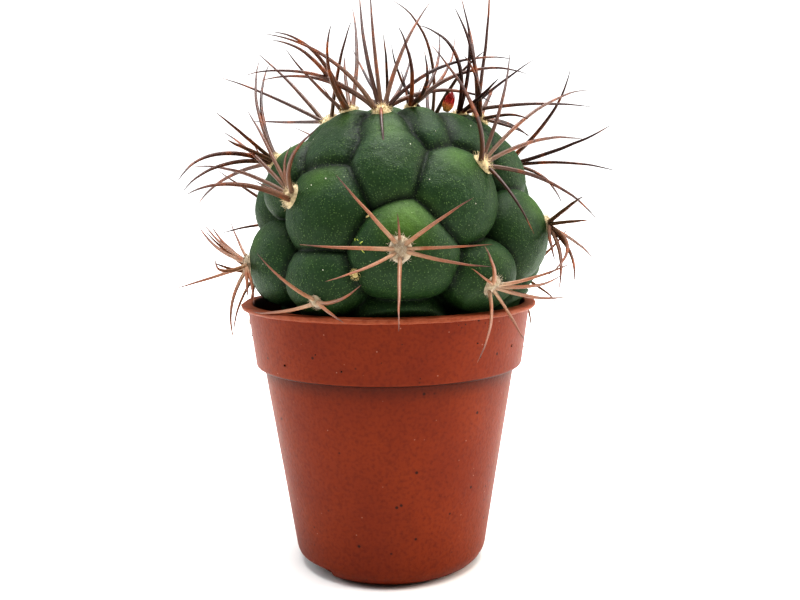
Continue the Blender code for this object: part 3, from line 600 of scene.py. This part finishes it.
materials = {
    "pot": makePolypropylene(),
    "skin": makeSkin(),
    "horn": makeHorn(),
    "felt": makeFelt("areole felt", "#ead6a6", "#b7a892"),
    "wool": makeFelt("crown wool", "#efe0b4", "#d8c090"),
    "peat": makePeat(),
    "bud": makeBudScale(),
    "chaff": makeGrit("dry chaff", "#cdbf8e", "#a58f5c"),
    "greenChaff": makeGrit("green chaff", "#b3bd5c", "#8f9a48"),
    "grit": makeGrit("pale grit", "#dedccf", "#b9b4a2"),
    "sweep": makeSweep(),
}
print("materials made")


def addPiece(name, vertices, faces, material, slot=None, nodes=(), sharp=None, values=None):
    # vertices are in mm. values are named numbers for each vertex
    mesh = bpy.data.meshes.new(name)
    mesh.from_pydata((np.asarray(vertices, float) * mm).tolist(), [], faces)
    mesh.materials.append(material)
    for key, numbers in (values or {}).items():
        layer = mesh.attributes.new(key, "FLOAT", "POINT")
        layer.data.foreach_set("value", np.asarray(numbers, np.float32))
    mesh.shade_smooth()
    if sharp:
        mesh.set_sharp_from_angle(angle=math.radians(sharp))
    piece = bpy.data.objects.new(name, mesh)
    bpy.context.scene.collection.objects.link(piece)
    if slot:
        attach(piece, "root")
        if nodes:
            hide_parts(*nodes)
    return piece


def lumps(points, size, seed=0.0):
    # Smooth noise from -1 to 1 whose lumps are about size mm across
    return np.array([noise.noise(Vector(p) / size + Vector((seed, seed * 2.3, seed * 3.1))) for p in points])


def turned(outline, sides):
    # Turns a closed outline of (radius, height). Points on the axis become single vertices
    vertices, rings, faces = [], [], []
    for radius, height in outline:
        if radius == 0:
            rings.append([len(vertices)] * sides)
            vertices.append((0, 0, height))
            continue
        rings.append([len(vertices) + i for i in range(sides)])
        for i in range(sides):
            angle = 2 * math.pi * i / sides
            vertices.append((radius * math.cos(angle), radius * math.sin(angle), height))
    for k in range(len(rings)):
        low, high = rings[k], rings[(k + 1) % len(rings)]
        for i in range(sides):
            j = (i + 1) % sides
            face = list(dict.fromkeys([low[i], low[j], high[j], high[i]]))
            if len(face) > 2:
                faces.append(face)
    return np.array(vertices), faces


def arc(centre, radius, start, end, steps):
    angles = np.radians(np.linspace(start, end, steps + 1))
    return [(centre[0] + radius * math.cos(a), centre[1] + radius * math.sin(a)) for a in angles]


def bodyRadius(height):
    bodyTop = potHeight - potShape["collarHeight"]
    topRadius = potShape["collarBottomRadius"] - potShape["collarStep"]
    return potShape["baseRadius"] + (topRadius - potShape["baseRadius"]) * height / bodyTop


def between(start, end, steps):
    # Points after start up to end, so that long walls have vertices to bend
    start, way = np.array(start), np.array(end) - np.array(start)
    return [tuple(start + way * k / steps) for k in range(1, steps + 1)]


def potOutline():
    bodyTop = potHeight - potShape["collarHeight"]
    topRadius = potShape["collarBottomRadius"] - potShape["collarStep"]
    draft = math.atan2(topRadius - potShape["baseRadius"], bodyTop)
    fillet, wall = potShape["baseFillet"], potShape["wall"]
    centre = (bodyRadius(fillet) - fillet / math.cos(draft), fillet)
    lipUnder = potHeight - potShape["lipThickness"]
    edge = potShape["lipThickness"] / 2
    bend, lipRound = potShape["lipBend"], potShape["lipRound"]
    outside = [(0, 0), (centre[0] / 2, 0)] + arc(centre, fillet, -90, -math.degrees(draft), 9)
    outside += between(outside[-1], (topRadius, bodyTop - lipRound), 14)
    outside += arc((topRadius + lipRound, bodyTop - lipRound), lipRound, 180, 90, 3)
    corner = potShape["collarFillet"]
    outside += arc((potShape["collarBottomRadius"] - corner, bodyTop + corner), corner, -90, 0, 6)
    outside += between(outside[-1], (potShape["collarTopRadius"], lipUnder - bend), 6)
    outside += arc((potShape["collarTopRadius"] + bend, lipUnder - bend), bend, 180, 90, 3)
    outside += arc((lipRadius - edge, potHeight - edge), edge, -80, 90, 6)
    innerTop = float(innerRadius(potHeight))
    inside = [(0, wall), (centre[0] / 2, wall)] + arc(centre, fillet - wall, -90, -math.degrees(draft), 7)
    inside += between(inside[-1], (bodyRadius(bodyTop - wall) - wall, bodyTop - wall), 10)
    inside += [(float(innerRadius(bodyTop)), bodyTop + 0.1)]
    inside += between(inside[-1], (innerTop, potHeight - lipRound), 4)
    inside += arc((innerTop + lipRound, potHeight - lipRound), lipRound, 180, 95, 3)
    return outside + inside[::-1]


def wedge(name, azimuth):
    # A cutter through the pot's bottom edge, open outwards and downwards
    steps = 24
    inner = potShape["baseRadius"] - potShape["baseFillet"] * 0.75
    vertices, faces = [], []
    for height in (-potShape["slotHeight"], potShape["slotHeight"]):
        for radius in (inner, lipRadius):
            for k in range(steps + 1):
                turn = azimuth - potShape["slotWidth"] / 2 + potShape["slotWidth"] * k / steps
                vertices.append(tuple(direction(turn, 0)[:2] * radius) + (height,))
    row = steps + 1
    for k in range(steps):
        a, b, c, d = k, k + row, k + 2 * row, k + 3 * row
        faces += [[a, a + 1, b + 1, b], [c, d, d + 1, c + 1]]
        faces += [[a, c, c + 1, a + 1], [b, b + 1, d + 1, d]]
    faces += [[0, row, 3 * row, 2 * row], [steps, 2 * row + steps, 3 * row + steps, row + steps]]
    return addPiece(name, vertices, faces, materials["pot"])


def plug(name, azimuth):
    x, y, _ = direction(azimuth, 0) * potShape["holeCircle"]
    radius, wall = potShape["holeRadius"], potShape["wall"]
    vertices, faces = turned([(0, -wall), (radius, -wall), (radius, 2 * wall), (0, 2 * wall)], 40)
    return addPiece(name, vertices + np.array([x, y, 0]), faces, materials["pot"])


def makePot():
    vertices, faces = turned(potOutline(), potShape["sides"])
    out = np.hypot(vertices[:, 0], vertices[:, 1])
    height = np.clip(vertices[:, 2] / potHeight, 0, 1)
    angle = np.arctan2(vertices[:, 1], vertices[:, 0])
    # Thin moulded walls are never quite true: the lip most of all
    swell = 0.5 * np.cos(2 * angle + 0.6) + 0.3 * np.cos(3 * angle + 1.9) + 0.2 * np.cos(5 * angle)
    shrink = potShape["wobble"] * height**3 * (swell - 1) / lipRadius
    vertices[:, :2] *= (1 + shrink)[:, None]
    nearLip = vertices[:, 2] > potHeight - 1.3
    ripple = lumps(vertices[nearLip], 2.2) + 0.5 * lumps(vertices[nearLip], 0.8)
    scuffed = np.clip((out[nearLip] - potShape["collarTopRadius"]) / 0.6, 0, 1)
    vertices[nearLip, 2] += (ripple - 0.9) * 0.10 * scuffed
    vertices[nearLip, :2] *= (1 + (ripple - 0.9) * 0.12 * scuffed / lipRadius)[:, None]
    # Painted light and wear: the lip's outer edge and top are painted lighter, standing in for light glowing
    # through the thin lip, mottled as scuffs
    wear = np.clip((out - potShape["collarTopRadius"] - 0.3) / 0.8, 0, 1) * (height > 0.9)
    wear = np.maximum(wear, np.clip((vertices[:, 2] - potHeight + 0.45) / 0.4, 0, 1))
    # Painted shade: the body is painted dark just under the collar's step, where the collar shades it
    below = potHeight - potShape["collarHeight"] + 0.25 - vertices[:, 2]
    outside = out > bodyRadius(np.minimum(vertices[:, 2], potHeight - potShape["collarHeight"])) - 0.4
    grime = np.exp(-np.maximum(below, 0) / 1.1) * (below > -0.05) * outside
    pot = addPiece("pot_shell", vertices, faces, materials["pot"], "pot_plastic", ["pot"],
                   potShape["sharpAngle"], {"wear": wear, "grime": grime})
    cutters = [wedge("slot_%d" % k, a) for k, a in enumerate(potShape["slotAzimuths"])]
    cutters += [plug("drain_%d" % k, 360 * k / potShape["holeCount"]) for k in range(potShape["holeCount"])]
    for cutter in cutters:
        modifier = pot.modifiers.new(cutter.name, "BOOLEAN")
        modifier.operation = "DIFFERENCE"
        modifier.object = cutter
    shaped = bpy.data.meshes.new_from_object(pot.evaluated_get(bpy.context.evaluated_depsgraph_get()))
    pot.modifiers.clear()
    pot.data = shaped
    for cutter in cutters:
        bpy.data.objects.remove(cutter)
    shaped.shade_smooth()
    shaped.set_sharp_from_angle(angle=math.radians(potShape["sharpAngle"]))
    return pot


makePot()
print("pot made")


def nearness(rays, outward, reach):
    # 1 along a direction, falling to 0 reach degrees away from it
    return np.clip(1 - np.degrees(np.arccos(np.clip(rays @ outward, -1, 1))) / reach, 0, 1)


def makeStem():
    meridians, ballRows, rootRows = stemShape["meridians"], stemShape["ballRows"], stemShape["rootRows"]
    ball = np.linspace(90, stemShape["rootLatitude"], ballRows, endpoint=False)[1:]
    root = np.linspace(stemShape["rootLatitude"], -90, rootRows, endpoint=False)
    latitudes = np.radians(np.concatenate([ball, root]))
    angles = 2 * math.pi * np.arange(meridians) / meridians
    flat = np.cos(latitudes)[:, None]
    grid = np.stack([np.sin(angles) * flat, -np.cos(angles) * flat,
                     np.sin(latitudes)[:, None] * np.ones(meridians)], axis=2).reshape(-1, 3)
    rays = np.vstack([[[0, 0, 1]], grid, [[0, 0, -1]]])
    points, crease = skinPoints(rays)
    # The skin swells and dimples a little between the felt cushions
    swell = stemShape["swell"] * lumps(points, stemShape["swellSize"])
    swell += stemShape["dimple"] * lumps(points, stemShape["dimpleSize"], 4.0)
    points = points + rays * swell[:, None]
    # Painted light: the upper side of each tubercle is painted a brighter green, less so on the low tubercles
    dome = np.zeros(len(points))
    for lobes, _ in tubercles.values():
        for azimuth, latitude, *_ in lobes:
            upper = direction(azimuth, min(latitude + stemShape["domeRise"], 88))
            strength = np.interp(latitude, [-10, 5, 30, 45], [0.45, 0.8, 0.8, 0.65])
            dome = np.maximum(dome, nearness(rays, upper, stemShape["domeReach"]) * strength)
    # Painted highlight: the front tubercle is painted paler
    highlightWay = direction(stemShape["highlightAzimuth"], stemShape["highlightLatitude"])
    pale = nearness(rays, highlightWay, stemShape["highlightReach"])
    last = len(rays) - 1
    faces = []
    for i in range(meridians):
        j = (i + 1) % meridians
        faces.append([0, 1 + i, 1 + j])
        faces.append([last, last - meridians + j, last - meridians + i])
        for top in range(1, last - meridians, meridians):
            faces.append([top + i, top + meridians + i, top + meridians + j, top + j])
    return addPiece("stem_skin", points, faces, materials["skin"], "skin", ["stem"], None,
                    {"crease": crease, "dome": dome, "pale": pale})


makeStem()
print("stem made")


def tube(path, radii, sides, vertices, faces, values, value):
    # Adds a tube of one closed surface along a path, with a point at its end
    base = len(vertices)
    ahead = np.gradient(path, axis=0)
    ahead /= np.linalg.norm(ahead, axis=1)[:, None]
    side = np.cross(ahead[0], [0.31, 0.22, 0.92])
    for k in range(len(path)):
        side = side - ahead[k] * (side @ ahead[k])
        side /= np.linalg.norm(side)
        lift = np.cross(ahead[k], side)
        for i in range(sides):
            angle = 2 * math.pi * i / sides
            vertices.append(path[k] + (side * math.cos(angle) + lift * math.sin(angle)) * radii[k])
            values.append((k / (len(path) - 1),) + value)
    for k in range(len(path) - 1):
        for i in range(sides):
            j = (i + 1) % sides
            a, b = base + k * sides, base + (k + 1) * sides
            faces.append([a + i, a + j, b + j, b + i])
    faces.append([base + i for i in range(sides)][::-1])
    end = base + (len(path) - 1) * sides
    faces.append([end + i for i in range(sides)])


def fibre(start, way, length, radius, rng, vertices, faces, values, value):
    # One hair: short, thin and randomly curled
    path = [start]
    heading = way
    for _ in range(4):
        heading = heading + np.array([rng.uniform(-1, 1) for _ in range(3)]) * 0.55
        heading /= np.linalg.norm(heading)
        path.append(path[-1] + heading * length / 4)
    tube(np.array(path), radius * np.array([1, 1, 0.9, 0.7, 0.3]), 3, vertices, faces, values, value)


def feltCushion(name, outward, size, youth, material, nodes, rng):
    # A lumpy cushion of matted hair with loose hairs standing out of it
    up, right = tangents(outward)
    up, right = up * feltShape["halfLength"] * size, right * feltShape["halfWidth"] * size
    rows, sides = feltShape["rows"], feltShape["sides"]
    turns = 2 * math.pi * np.arange(sides) / sides
    around = np.cos(turns)[:, None] * up + np.sin(turns)[:, None] * right
    climbs = math.pi / 2 * np.arange(rows) / rows
    offsets = np.concatenate([around * math.cos(climb) for climb in climbs])
    rises = np.repeat(np.sin(climbs), sides) * (0.35 + feltShape["height"] * size) - 0.35
    offsets = np.vstack([offsets, [[0, 0, 0]], [[0, 0, 0]]])
    rises = np.concatenate([rises, [feltShape["height"] * size, -0.6]])
    vertices = skinAt(outward * stemShape["radius"] + offsets) + outward * rises[:, None]
    bulge = 0.22 * lumps(vertices, 0.9, size) + 0.15 * lumps(vertices, 0.4, size)
    bulge[-1] = 0
    vertices = list(vertices + outward * bulge[:, None])
    top, floor = rows * sides, rows * sides + 1
    faces = []
    for i in range(sides):
        j = (i + 1) % sides
        faces.append([floor, j, i])
        for k in range(0, (rows - 1) * sides, sides):
            faces.append([k + i, k + j, k + sides + j, k + sides + i])
        faces.append([top - sides + i, top - sides + j, top])
    values = [(0.0, youth)] * len(vertices)
    hairs = int(feltShape["hairs"] * size)
    shares = [math.sqrt(rng.random()) for _ in range(hairs)]
    turns = [rng.uniform(0, 2 * math.pi) for _ in range(hairs)]
    offsets = np.array([(up * math.cos(t) + right * math.sin(t)) * s for t, s in zip(turns, shares)])
    feet = skinAt(outward * stemShape["radius"] + offsets * 0.95)
    for foot, offset, share in zip(feet, offsets, shares):
        rise = feltShape["height"] * size * math.sqrt(1 - share**2) - 0.1
        way = outward + offset / np.linalg.norm(offset) * share * 1.3
        way /= np.linalg.norm(way)
        fibre(foot + outward * rise, way, rng.uniform(0.5, 1.1) * size, feltShape["hairRadius"], rng,
              vertices, faces, values, (youth,))
    values = np.array(values)
    return addPiece(name, vertices, faces, material, "wool", nodes, None, {"youth": values[:, 1]})


def spineMesh(name, outward, felt, rows, youth, node, rng):
    vertices, faces, values = [], [], []
    for spine in rows:
        clock, _, length, _, _ = spine
        foot = spineFoot(outward, felt, clock)
        path = spineLine(outward, foot, spine, spineShape["steps"])
        toMiddle = skinPoint(outward) + outward * 0.3 - foot
        path = np.vstack([foot + toMiddle * 0.35 - outward * 0.2, path])
        share = np.linspace(0, 1, len(path))
        stout = spineShape["radius"] * (0.55 + 0.45 * min(1.0, length / spineShape["fullLength"]))
        stout *= rng.uniform(0.9, 1.1)
        radii = stout * (1 - share**2.2 * 0.9) * (1 + 0.3 * np.exp(-share * 14))
        radii[-1] = spineShape["tipRadius"]
        # Horn grows unevenly, so a spine is never quite smooth
        waver = np.array([noise.noise_vector(Vector(p) / 4.0) for p in path])
        waver *= spineShape["waver"] * share[:, None]
        tone = min(1.0, max(0.0, youth + rng.uniform(-0.22, 0.22)))
        tube(path + waver, radii, spineShape["sides"], vertices, faces, values, (tone,))
    values = np.array(values)
    return addPiece(name, vertices, faces, materials["horn"], "spines", [node], 50,
                    {"along": values[:, 0], "youth": values[:, 1]})


def makeAreoles():
    for place, (_, areole) in tubercles.items():
        if areole is None:
            continue
        azimuth, latitude, size, kind = areole
        outward = direction(azimuth, latitude)
        rng = random.Random("areole " + place)
        youth = areoleYouth[kind]
        rows = spineRows.get(place)
        if rows is None:
            rows = [(c + rng.uniform(-9, 9), l + rng.uniform(-6, 6), s * rng.uniform(0.88, 1.08),
                     b + rng.uniform(-8, 8), rng.uniform(-12, 12)) for c, l, s, b in patterns[kind]]
        node = "areole_" + place
        feltCushion("felt_" + place, outward, size, youth, materials["felt"], [node], rng)
        spineMesh("spines_" + place, outward, size, rows, youth, node, rng)


makeAreoles()
print("areoles made")


soilShape = {
    "rings": 60,
    "sides": 160,
    "relief": 0.7,
    "crumbs": 520,
    "grit": 26,
    "smallest": 0.18,
    "largest": 0.75,
}


def chunk(centre, size, rng, vertices, faces):
    # An irregular crumb: a small ball, stretched, turned and roughened
    seed = bpy.data.meshes.get("crumb_seed")
    base = len(vertices)
    stretch = np.array([rng.uniform(0.6, 1.3) for _ in range(3)])
    turn = rng.uniform(0, 6.28)
    axis = Vector((rng.uniform(-1, 1), rng.uniform(-1, 1), 1)).normalized()
    spin = Matrix.Rotation(turn, 3, axis)
    for v in seed.vertices:
        p = spin @ Vector(np.array(v.co) * stretch)
        rough = 1 + 0.35 * noise.noise(p * 1.7 + Vector(centre))
        vertices.append(np.array(centre) + np.array(p) * size * rough)
    for polygon in seed.polygons:
        faces.append([base + k for k in polygon.vertices])


def makeCrumbSeed():
    ball = bmesh.new()
    bmesh.ops.create_icosphere(ball, subdivisions=2, radius=1.0)
    mesh = bpy.data.meshes.new("crumb_seed")
    ball.to_mesh(mesh)
    ball.free()
    mesh.use_fake_user = True


def soilHeight(points):
    # Height of the soil's surface over (x, y) points, rising a little to the stem
    out = np.hypot(points[:, 0], points[:, 1])
    flat = np.c_[points[:, :2], np.zeros(len(points))]
    relief = 0.55 * lumps(flat, 3.2) + 0.3 * lumps(flat, 1.1, 2.0) + 0.15 * lumps(flat, 0.5, 5.0)
    return soilTop - 0.75 - 0.5 * out / lipRadius + relief * soilShape["relief"]


def makeSoil():
    edge = float(innerRadius(soilTop)) - 0.25
    rings, sides = soilShape["rings"], soilShape["sides"]
    floorHeight = potShape["wall"] + potShape["clearance"]
    floorEdge = potShape["baseRadius"] - potShape["baseFillet"]
    flat = [(0.0, 0.0)]
    for k in range(1, rings + 1):
        for i in range(sides):
            angle = 2 * math.pi * i / sides
            flat.append((edge * k / rings * math.cos(angle), edge * k / rings * math.sin(angle)))
    flat = np.array(flat)
    vertices = list(np.c_[flat, soilHeight(flat)])
    faces = []
    for i in range(sides):
        faces.append([0, 1 + i, 1 + (i + 1) % sides])
    for k in range(rings - 1):
        for i in range(sides):
            j = (i + 1) % sides
            low, high = 1 + k * sides, 1 + (k + 1) * sides
            faces.append([low + i, high + i, high + j, low + j])
    top = 1 + (rings - 1) * sides
    bodyTop = potHeight - potShape["collarHeight"]
    # Where the wall steps out to the collar, just below that step, and at the rounded bottom edge
    walls = [(float(innerRadius(height)) - gap, height)
             for height, gap in ((bodyTop + 0.6, 0.25), (bodyTop - 1.0, 0.3), (potShape["baseFillet"], 0.4))]
    for radius, height in walls + [(floorEdge, floorHeight)]:
        low = len(vertices)
        for i in range(sides):
            angle = 2 * math.pi * i / sides
            vertices.append(np.array([radius * math.cos(angle), radius * math.sin(angle), height]))
        for i in range(sides):
            j = (i + 1) % sides
            faces.append([low + i, low + j, top + j, top + i])
        top = low
    faces.append([top + i for i in range(sides)][::-1])
    addPiece("soil_body", vertices, faces, materials["peat"], "soil", ["soil"])

    rng = random.Random("soil crumbs")
    crumbs, crumbFaces, grit, gritFaces = [], [], [], []
    for k in range(soilShape["crumbs"] + soilShape["grit"]):
        out = edge * math.sqrt(rng.uniform(0.45, 0.97))
        angle = rng.uniform(0, 2 * math.pi)
        place = np.array([[out * math.cos(angle), out * math.sin(angle), 0.0]])
        size = rng.uniform(soilShape["smallest"], soilShape["largest"])
        place[0, 2] = soilHeight(place)[0] + size * 0.3
        if k < soilShape["crumbs"]:
            chunk(place[0], size, rng, crumbs, crumbFaces)
        else:
            chunk(place[0], size * 0.7, rng, grit, gritFaces)
    addPiece("soil_crumbs", crumbs, crumbFaces, materials["peat"], "soil")
    addPiece("soil_grit", grit, gritFaces, materials["grit"], "soil")


makeCrumbSeed()
makeSoil()
print("soil made")


crownShape = {
    "azimuth": 64,
    "latitude": 81,
    "budAzimuth": 52,
    "budLatitude": 66,
    "budGap": 0.3,  # from the skin to the bud's foot
    "budRadius": 1.0,
    "scales": 13,
    "scaleLength": 0.34,  # as a share of the bud's length
    "turnPerScale": 137.5,  # degrees
}


def makeCrown():
    # Loose new wool over the growing point
    outward = direction(crownShape["azimuth"], crownShape["latitude"])
    low, high = (np.array(corner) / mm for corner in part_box("crown_wool"))
    size = (high[0] - low[0]) / 2 / feltShape["halfLength"] * 0.85
    rng = random.Random("crown wool")
    feltCushion("crown_wool_tuft", outward, size, 1.0, materials["wool"], ["crown_wool"], rng)


def makeBud():
    # A closed bud: a pale tube with red scales wrapped round it in a spiral
    high = np.array(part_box("flower_bud")[1]) / mm
    outward = direction(crownShape["budAzimuth"], crownShape["budLatitude"])
    up, right = tangents(outward)
    foot = skinPoint(outward) + outward * crownShape["budGap"]
    length = (high[2] - foot[2]) / outward[2] * 0.97
    radius = crownShape["budRadius"]
    outline = [(0, 0), (0.55, 0.0), (0.9, 0.15), (1, 0.35), (0.85, 0.6), (0.5, 0.84), (0.22, 0.95), (0, 0.97)]
    body, faces = turned([(r * radius * 0.88, z * length) for r, z in outline], 24)
    vertices = [foot + right * x + up * y + outward * z for x, y, z in body]
    along = [z / length for _, _, z in body]
    golden = math.radians(crownShape["turnPerScale"])
    for n in range(crownShape["scales"]):
        start = 0.12 + 0.6 * n / crownShape["scales"]
        half = 0.52 - 0.2 * n / crownShape["scales"]
        base = len(vertices)
        for side in (0, 1):
            for k in range(6):
                t = k / 5
                height = min(start + crownShape["scaleLength"] * t, 1.02)
                swell = np.interp(height, [0, 0.15, 0.35, 0.6, 0.84, 1.02], [0.5, 0.9, 1, 0.86, 0.52, 0.12])
                width = half * math.sin(math.pi / 2 * (1 - 0.75 * t)) * (1 - t**3)
                for w in (-1, -0.5, 0, 0.5, 1):
                    angle = n * golden + w * width
                    out = radius * (swell * (0.9 if side else 0.97) + 0.06 + 0.10 * t - 0.05 * abs(w))
                    around = right * math.cos(angle) + up * math.sin(angle)
                    vertices.append(foot + around * out + outward * height * length)
                    along.append(height)
        for k in range(5):
            for w in range(4):
                a = base + k * 5 + w
                b = a + 30
                faces.append([a, a + 1, a + 6, a + 5])
                faces.append([b, b + 5, b + 6, b + 1])
        rim = [base + w for w in range(5)] + [base + k * 5 + 4 for k in range(1, 6)]
        rim += [base + 25 + w for w in range(3, -1, -1)] + [base + k * 5 for k in range(4, 0, -1)]
        for k in range(len(rim)):
            a, b = rim[k], rim[(k + 1) % len(rim)]
            faces.append([b, a, a + 30, b + 30])
    addPiece("bud_scales", vertices, faces, materials["bud"], "bud", ["flower_bud"], None, {"along": along})


makeCrown()
makeBud()
print("crown made")


def stick(place, lift=0.0):
    # A point on the skin, by azimuth and latitude, raised off it by lift mm
    outward = direction(*place)
    return skinPoint(outward) + outward * lift, outward


litterShape = {
    "lintHairs": 140,
    "skinGrit": 60,
    "collarSpecks": 46,
}


def makeLitter():
    # Bits that have fallen onto the plant and stuck there
    rng = random.Random("litter")
    vertices, faces = [], []
    foot, outward = stick((-10, 16), 0.1)
    up, right = tangents(outward)
    chunk((0, 0, 0), 0.42, rng, vertices, faces)
    grain = [foot + right * x * 1.25 + up * (y * 0.6 + x * 0.35) + outward * z * 0.5 for x, y, z in vertices]
    addPiece("chaff_grain", grain, faces, materials["chaff"], "wool")

    vertices, faces, values = [], [], []
    for place, length in (((-14, 7.5), 1.6), ((-12.5, 6), 1.3), ((-13, 4.5), 1.5), ((-15, 7.8), 1.0)):
        foot, outward = stick(place, 0.15)
        up, right = tangents(outward)
        way = right * rng.uniform(0.5, 1) + up * rng.uniform(-0.8, 0.5) + outward * 0.1
        fibre(foot, way / np.linalg.norm(way), length, 0.13, rng, vertices, faces, values, (0,))
    addPiece("green_fibres", vertices, faces, materials["greenChaff"], "wool")

    vertices, faces, values = [], [], []
    foot, outward = stick((-14.5, -4.5), 0.45)
    chunk(foot, 0.8, rng, vertices, faces)
    for _ in range(litterShape["lintHairs"]):
        way = np.array([rng.gauss(0, 1) for _ in range(3)])
        way /= np.linalg.norm(way)
        fibre(foot + way * 0.7, way, rng.uniform(0.25, 0.5), 0.03, rng, vertices, faces, values, (0,))
    addPiece("lint_ball", vertices, faces, materials["chaff"], "wool")

    vertices, faces = [], []
    for _ in range(litterShape["skinGrit"]):
        place = (rng.uniform(-180, 180), rng.uniform(-12, 60))
        foot, outward = stick(place, 0.03)
        chunk(foot, rng.uniform(0.05, 0.13), rng, vertices, faces)
    addPiece("skin_grit", vertices, faces, materials["grit"], "wool")

    vertices, faces = [], []
    for _ in range(litterShape["collarSpecks"]):
        azimuth = rng.uniform(-180, 180)
        share = rng.random() ** 1.6
        height = potHeight - 1.6 - share * (potShape["collarHeight"] - 2.6)
        rise = (height - potHeight + potShape["collarHeight"]) / potShape["collarHeight"]
        swell = potShape["collarTopRadius"] - potShape["collarBottomRadius"]
        radius = potShape["collarBottomRadius"] + swell * rise
        x, y, _ = direction(azimuth, 0) * radius
        chunk((x, y, height), rng.uniform(0.07, 0.19), rng, vertices, faces)
    addPiece("collar_peat_specks", vertices, faces, materials["peat"], "soil")


makeLitter()
print("litter made")


lightTent = {
    "strength": 0.5,
    "sides": 1.0,
    "front": 0.12,  # the dark opening that the camera looks in through
    "low": 0.3,
    "high": 1.9,
    "right": 1.7,  # watts
    "left": 0.9,
    "top": 4.4,
    "floor": 3000,  # half the floor's width, in mm
}


def areaLight(name, place, aim, size, power, tint):
    light = bpy.data.lights.new(name, "AREA")
    light.shape = "SQUARE"
    light.size = size
    light.energy = power
    light.color = linear(tint)[:3]
    lamp = bpy.data.objects.new(name, light)
    lamp.location = place
    lamp.rotation_euler = (Vector(aim) - Vector(place)).to_track_quat("-Z", "Y").to_euler()
    bpy.context.scene.collection.objects.link(lamp)


def makeStudio():
    # A light tent: white all round and above, with a dark opening at the front
    world = bpy.data.worlds.new("light tent")
    bpy.context.scene.world = world
    world.use_nodes = True
    tree = world.node_tree
    background = tree.nodes["Background"]
    ways = addNode(tree, "TexCoord").outputs["Generated"]
    parts = addNode(tree, "SeparateXYZ", links={0: ways})
    depth = addNode(tree, "MapRange", {"From Min": -0.9, "From Max": 0.2, "To Min": lightTent["front"],
                                       "To Max": lightTent["sides"]}, {"Value": parts.outputs["Y"]})
    rise = addNode(tree, "MapRange", {"From Min": 0.0, "From Max": 0.85, "To Min": lightTent["low"],
                                      "To Max": lightTent["high"]}, {"Value": parts.outputs["Z"]})
    light = addNode(tree, "Math", {"operation": "MULTIPLY"}, {0: depth.outputs[0], 1: rise.outputs[0]})
    tree.links.new(light.outputs[0], background.inputs["Color"])
    seen = addNode(tree, "Background", {"Color": (1, 1, 1, 1), "Strength": 1.0})
    straight = addNode(tree, "LightPath").outputs["Is Camera Ray"]
    mixed = addNode(tree, "MixShader", links={0: straight, 1: background.outputs[0], 2: seen.outputs[0]})
    tree.links.new(mixed.outputs[0], tree.nodes["World Output"].inputs["Surface"])
    background.inputs["Strength"].default_value = lightTent["strength"]
    centre = (0, 0, potHeight * mm)
    areaLight("right_softbox", (0.46, 0.0, 0.24), centre, 0.30, lightTent["right"], "#fffaf2")
    areaLight("left_softbox", (-0.45, 0.06, 0.26), centre, 0.30, lightTent["left"], "#f6faff")
    areaLight("top_softbox", (0.02, -0.02, 0.55), centre, 0.45, lightTent["top"], "#ffffff")

    half = lightTent["floor"]
    corners = [(-half, -half, 0), (half, -half, 0), (half, half, 0), (-half, half, 0)]
    sweep = addPiece("studio_floor", corners, [[0, 1, 2, 3]], materials["sweep"])
    view = bpy.context.scene.view_settings
    view.view_transform = "Standard"
    view.look = "High Contrast"


cameraView = {
    "lens": 40.5,
    "place": (0.078, -6.123, 2.512),  # in lip radii, as the camera was set up round the pot
    "down": 0.117,  # radians below the level
    "roll": -0.010,
}


def makeCamera():
    camera = bpy.data.cameras.new("camera")
    camera.sensor_width = 36
    camera.lens = cameraView["lens"]
    camera.clip_start = 0.005
    view = bpy.data.objects.new("camera", camera)
    place = Matrix.Translation(Vector(cameraView["place"]) * lipRadius * mm)
    tilt = Matrix.Rotation(math.pi / 2 - cameraView["down"], 4, "X")
    roll = Matrix.Rotation(cameraView["roll"], 4, "Z")
    view.matrix_world = place @ tilt @ roll
    bpy.context.scene.collection.objects.link(view)
    bpy.context.scene.camera = view


makeStudio()
makeCamera()
print("studio made")
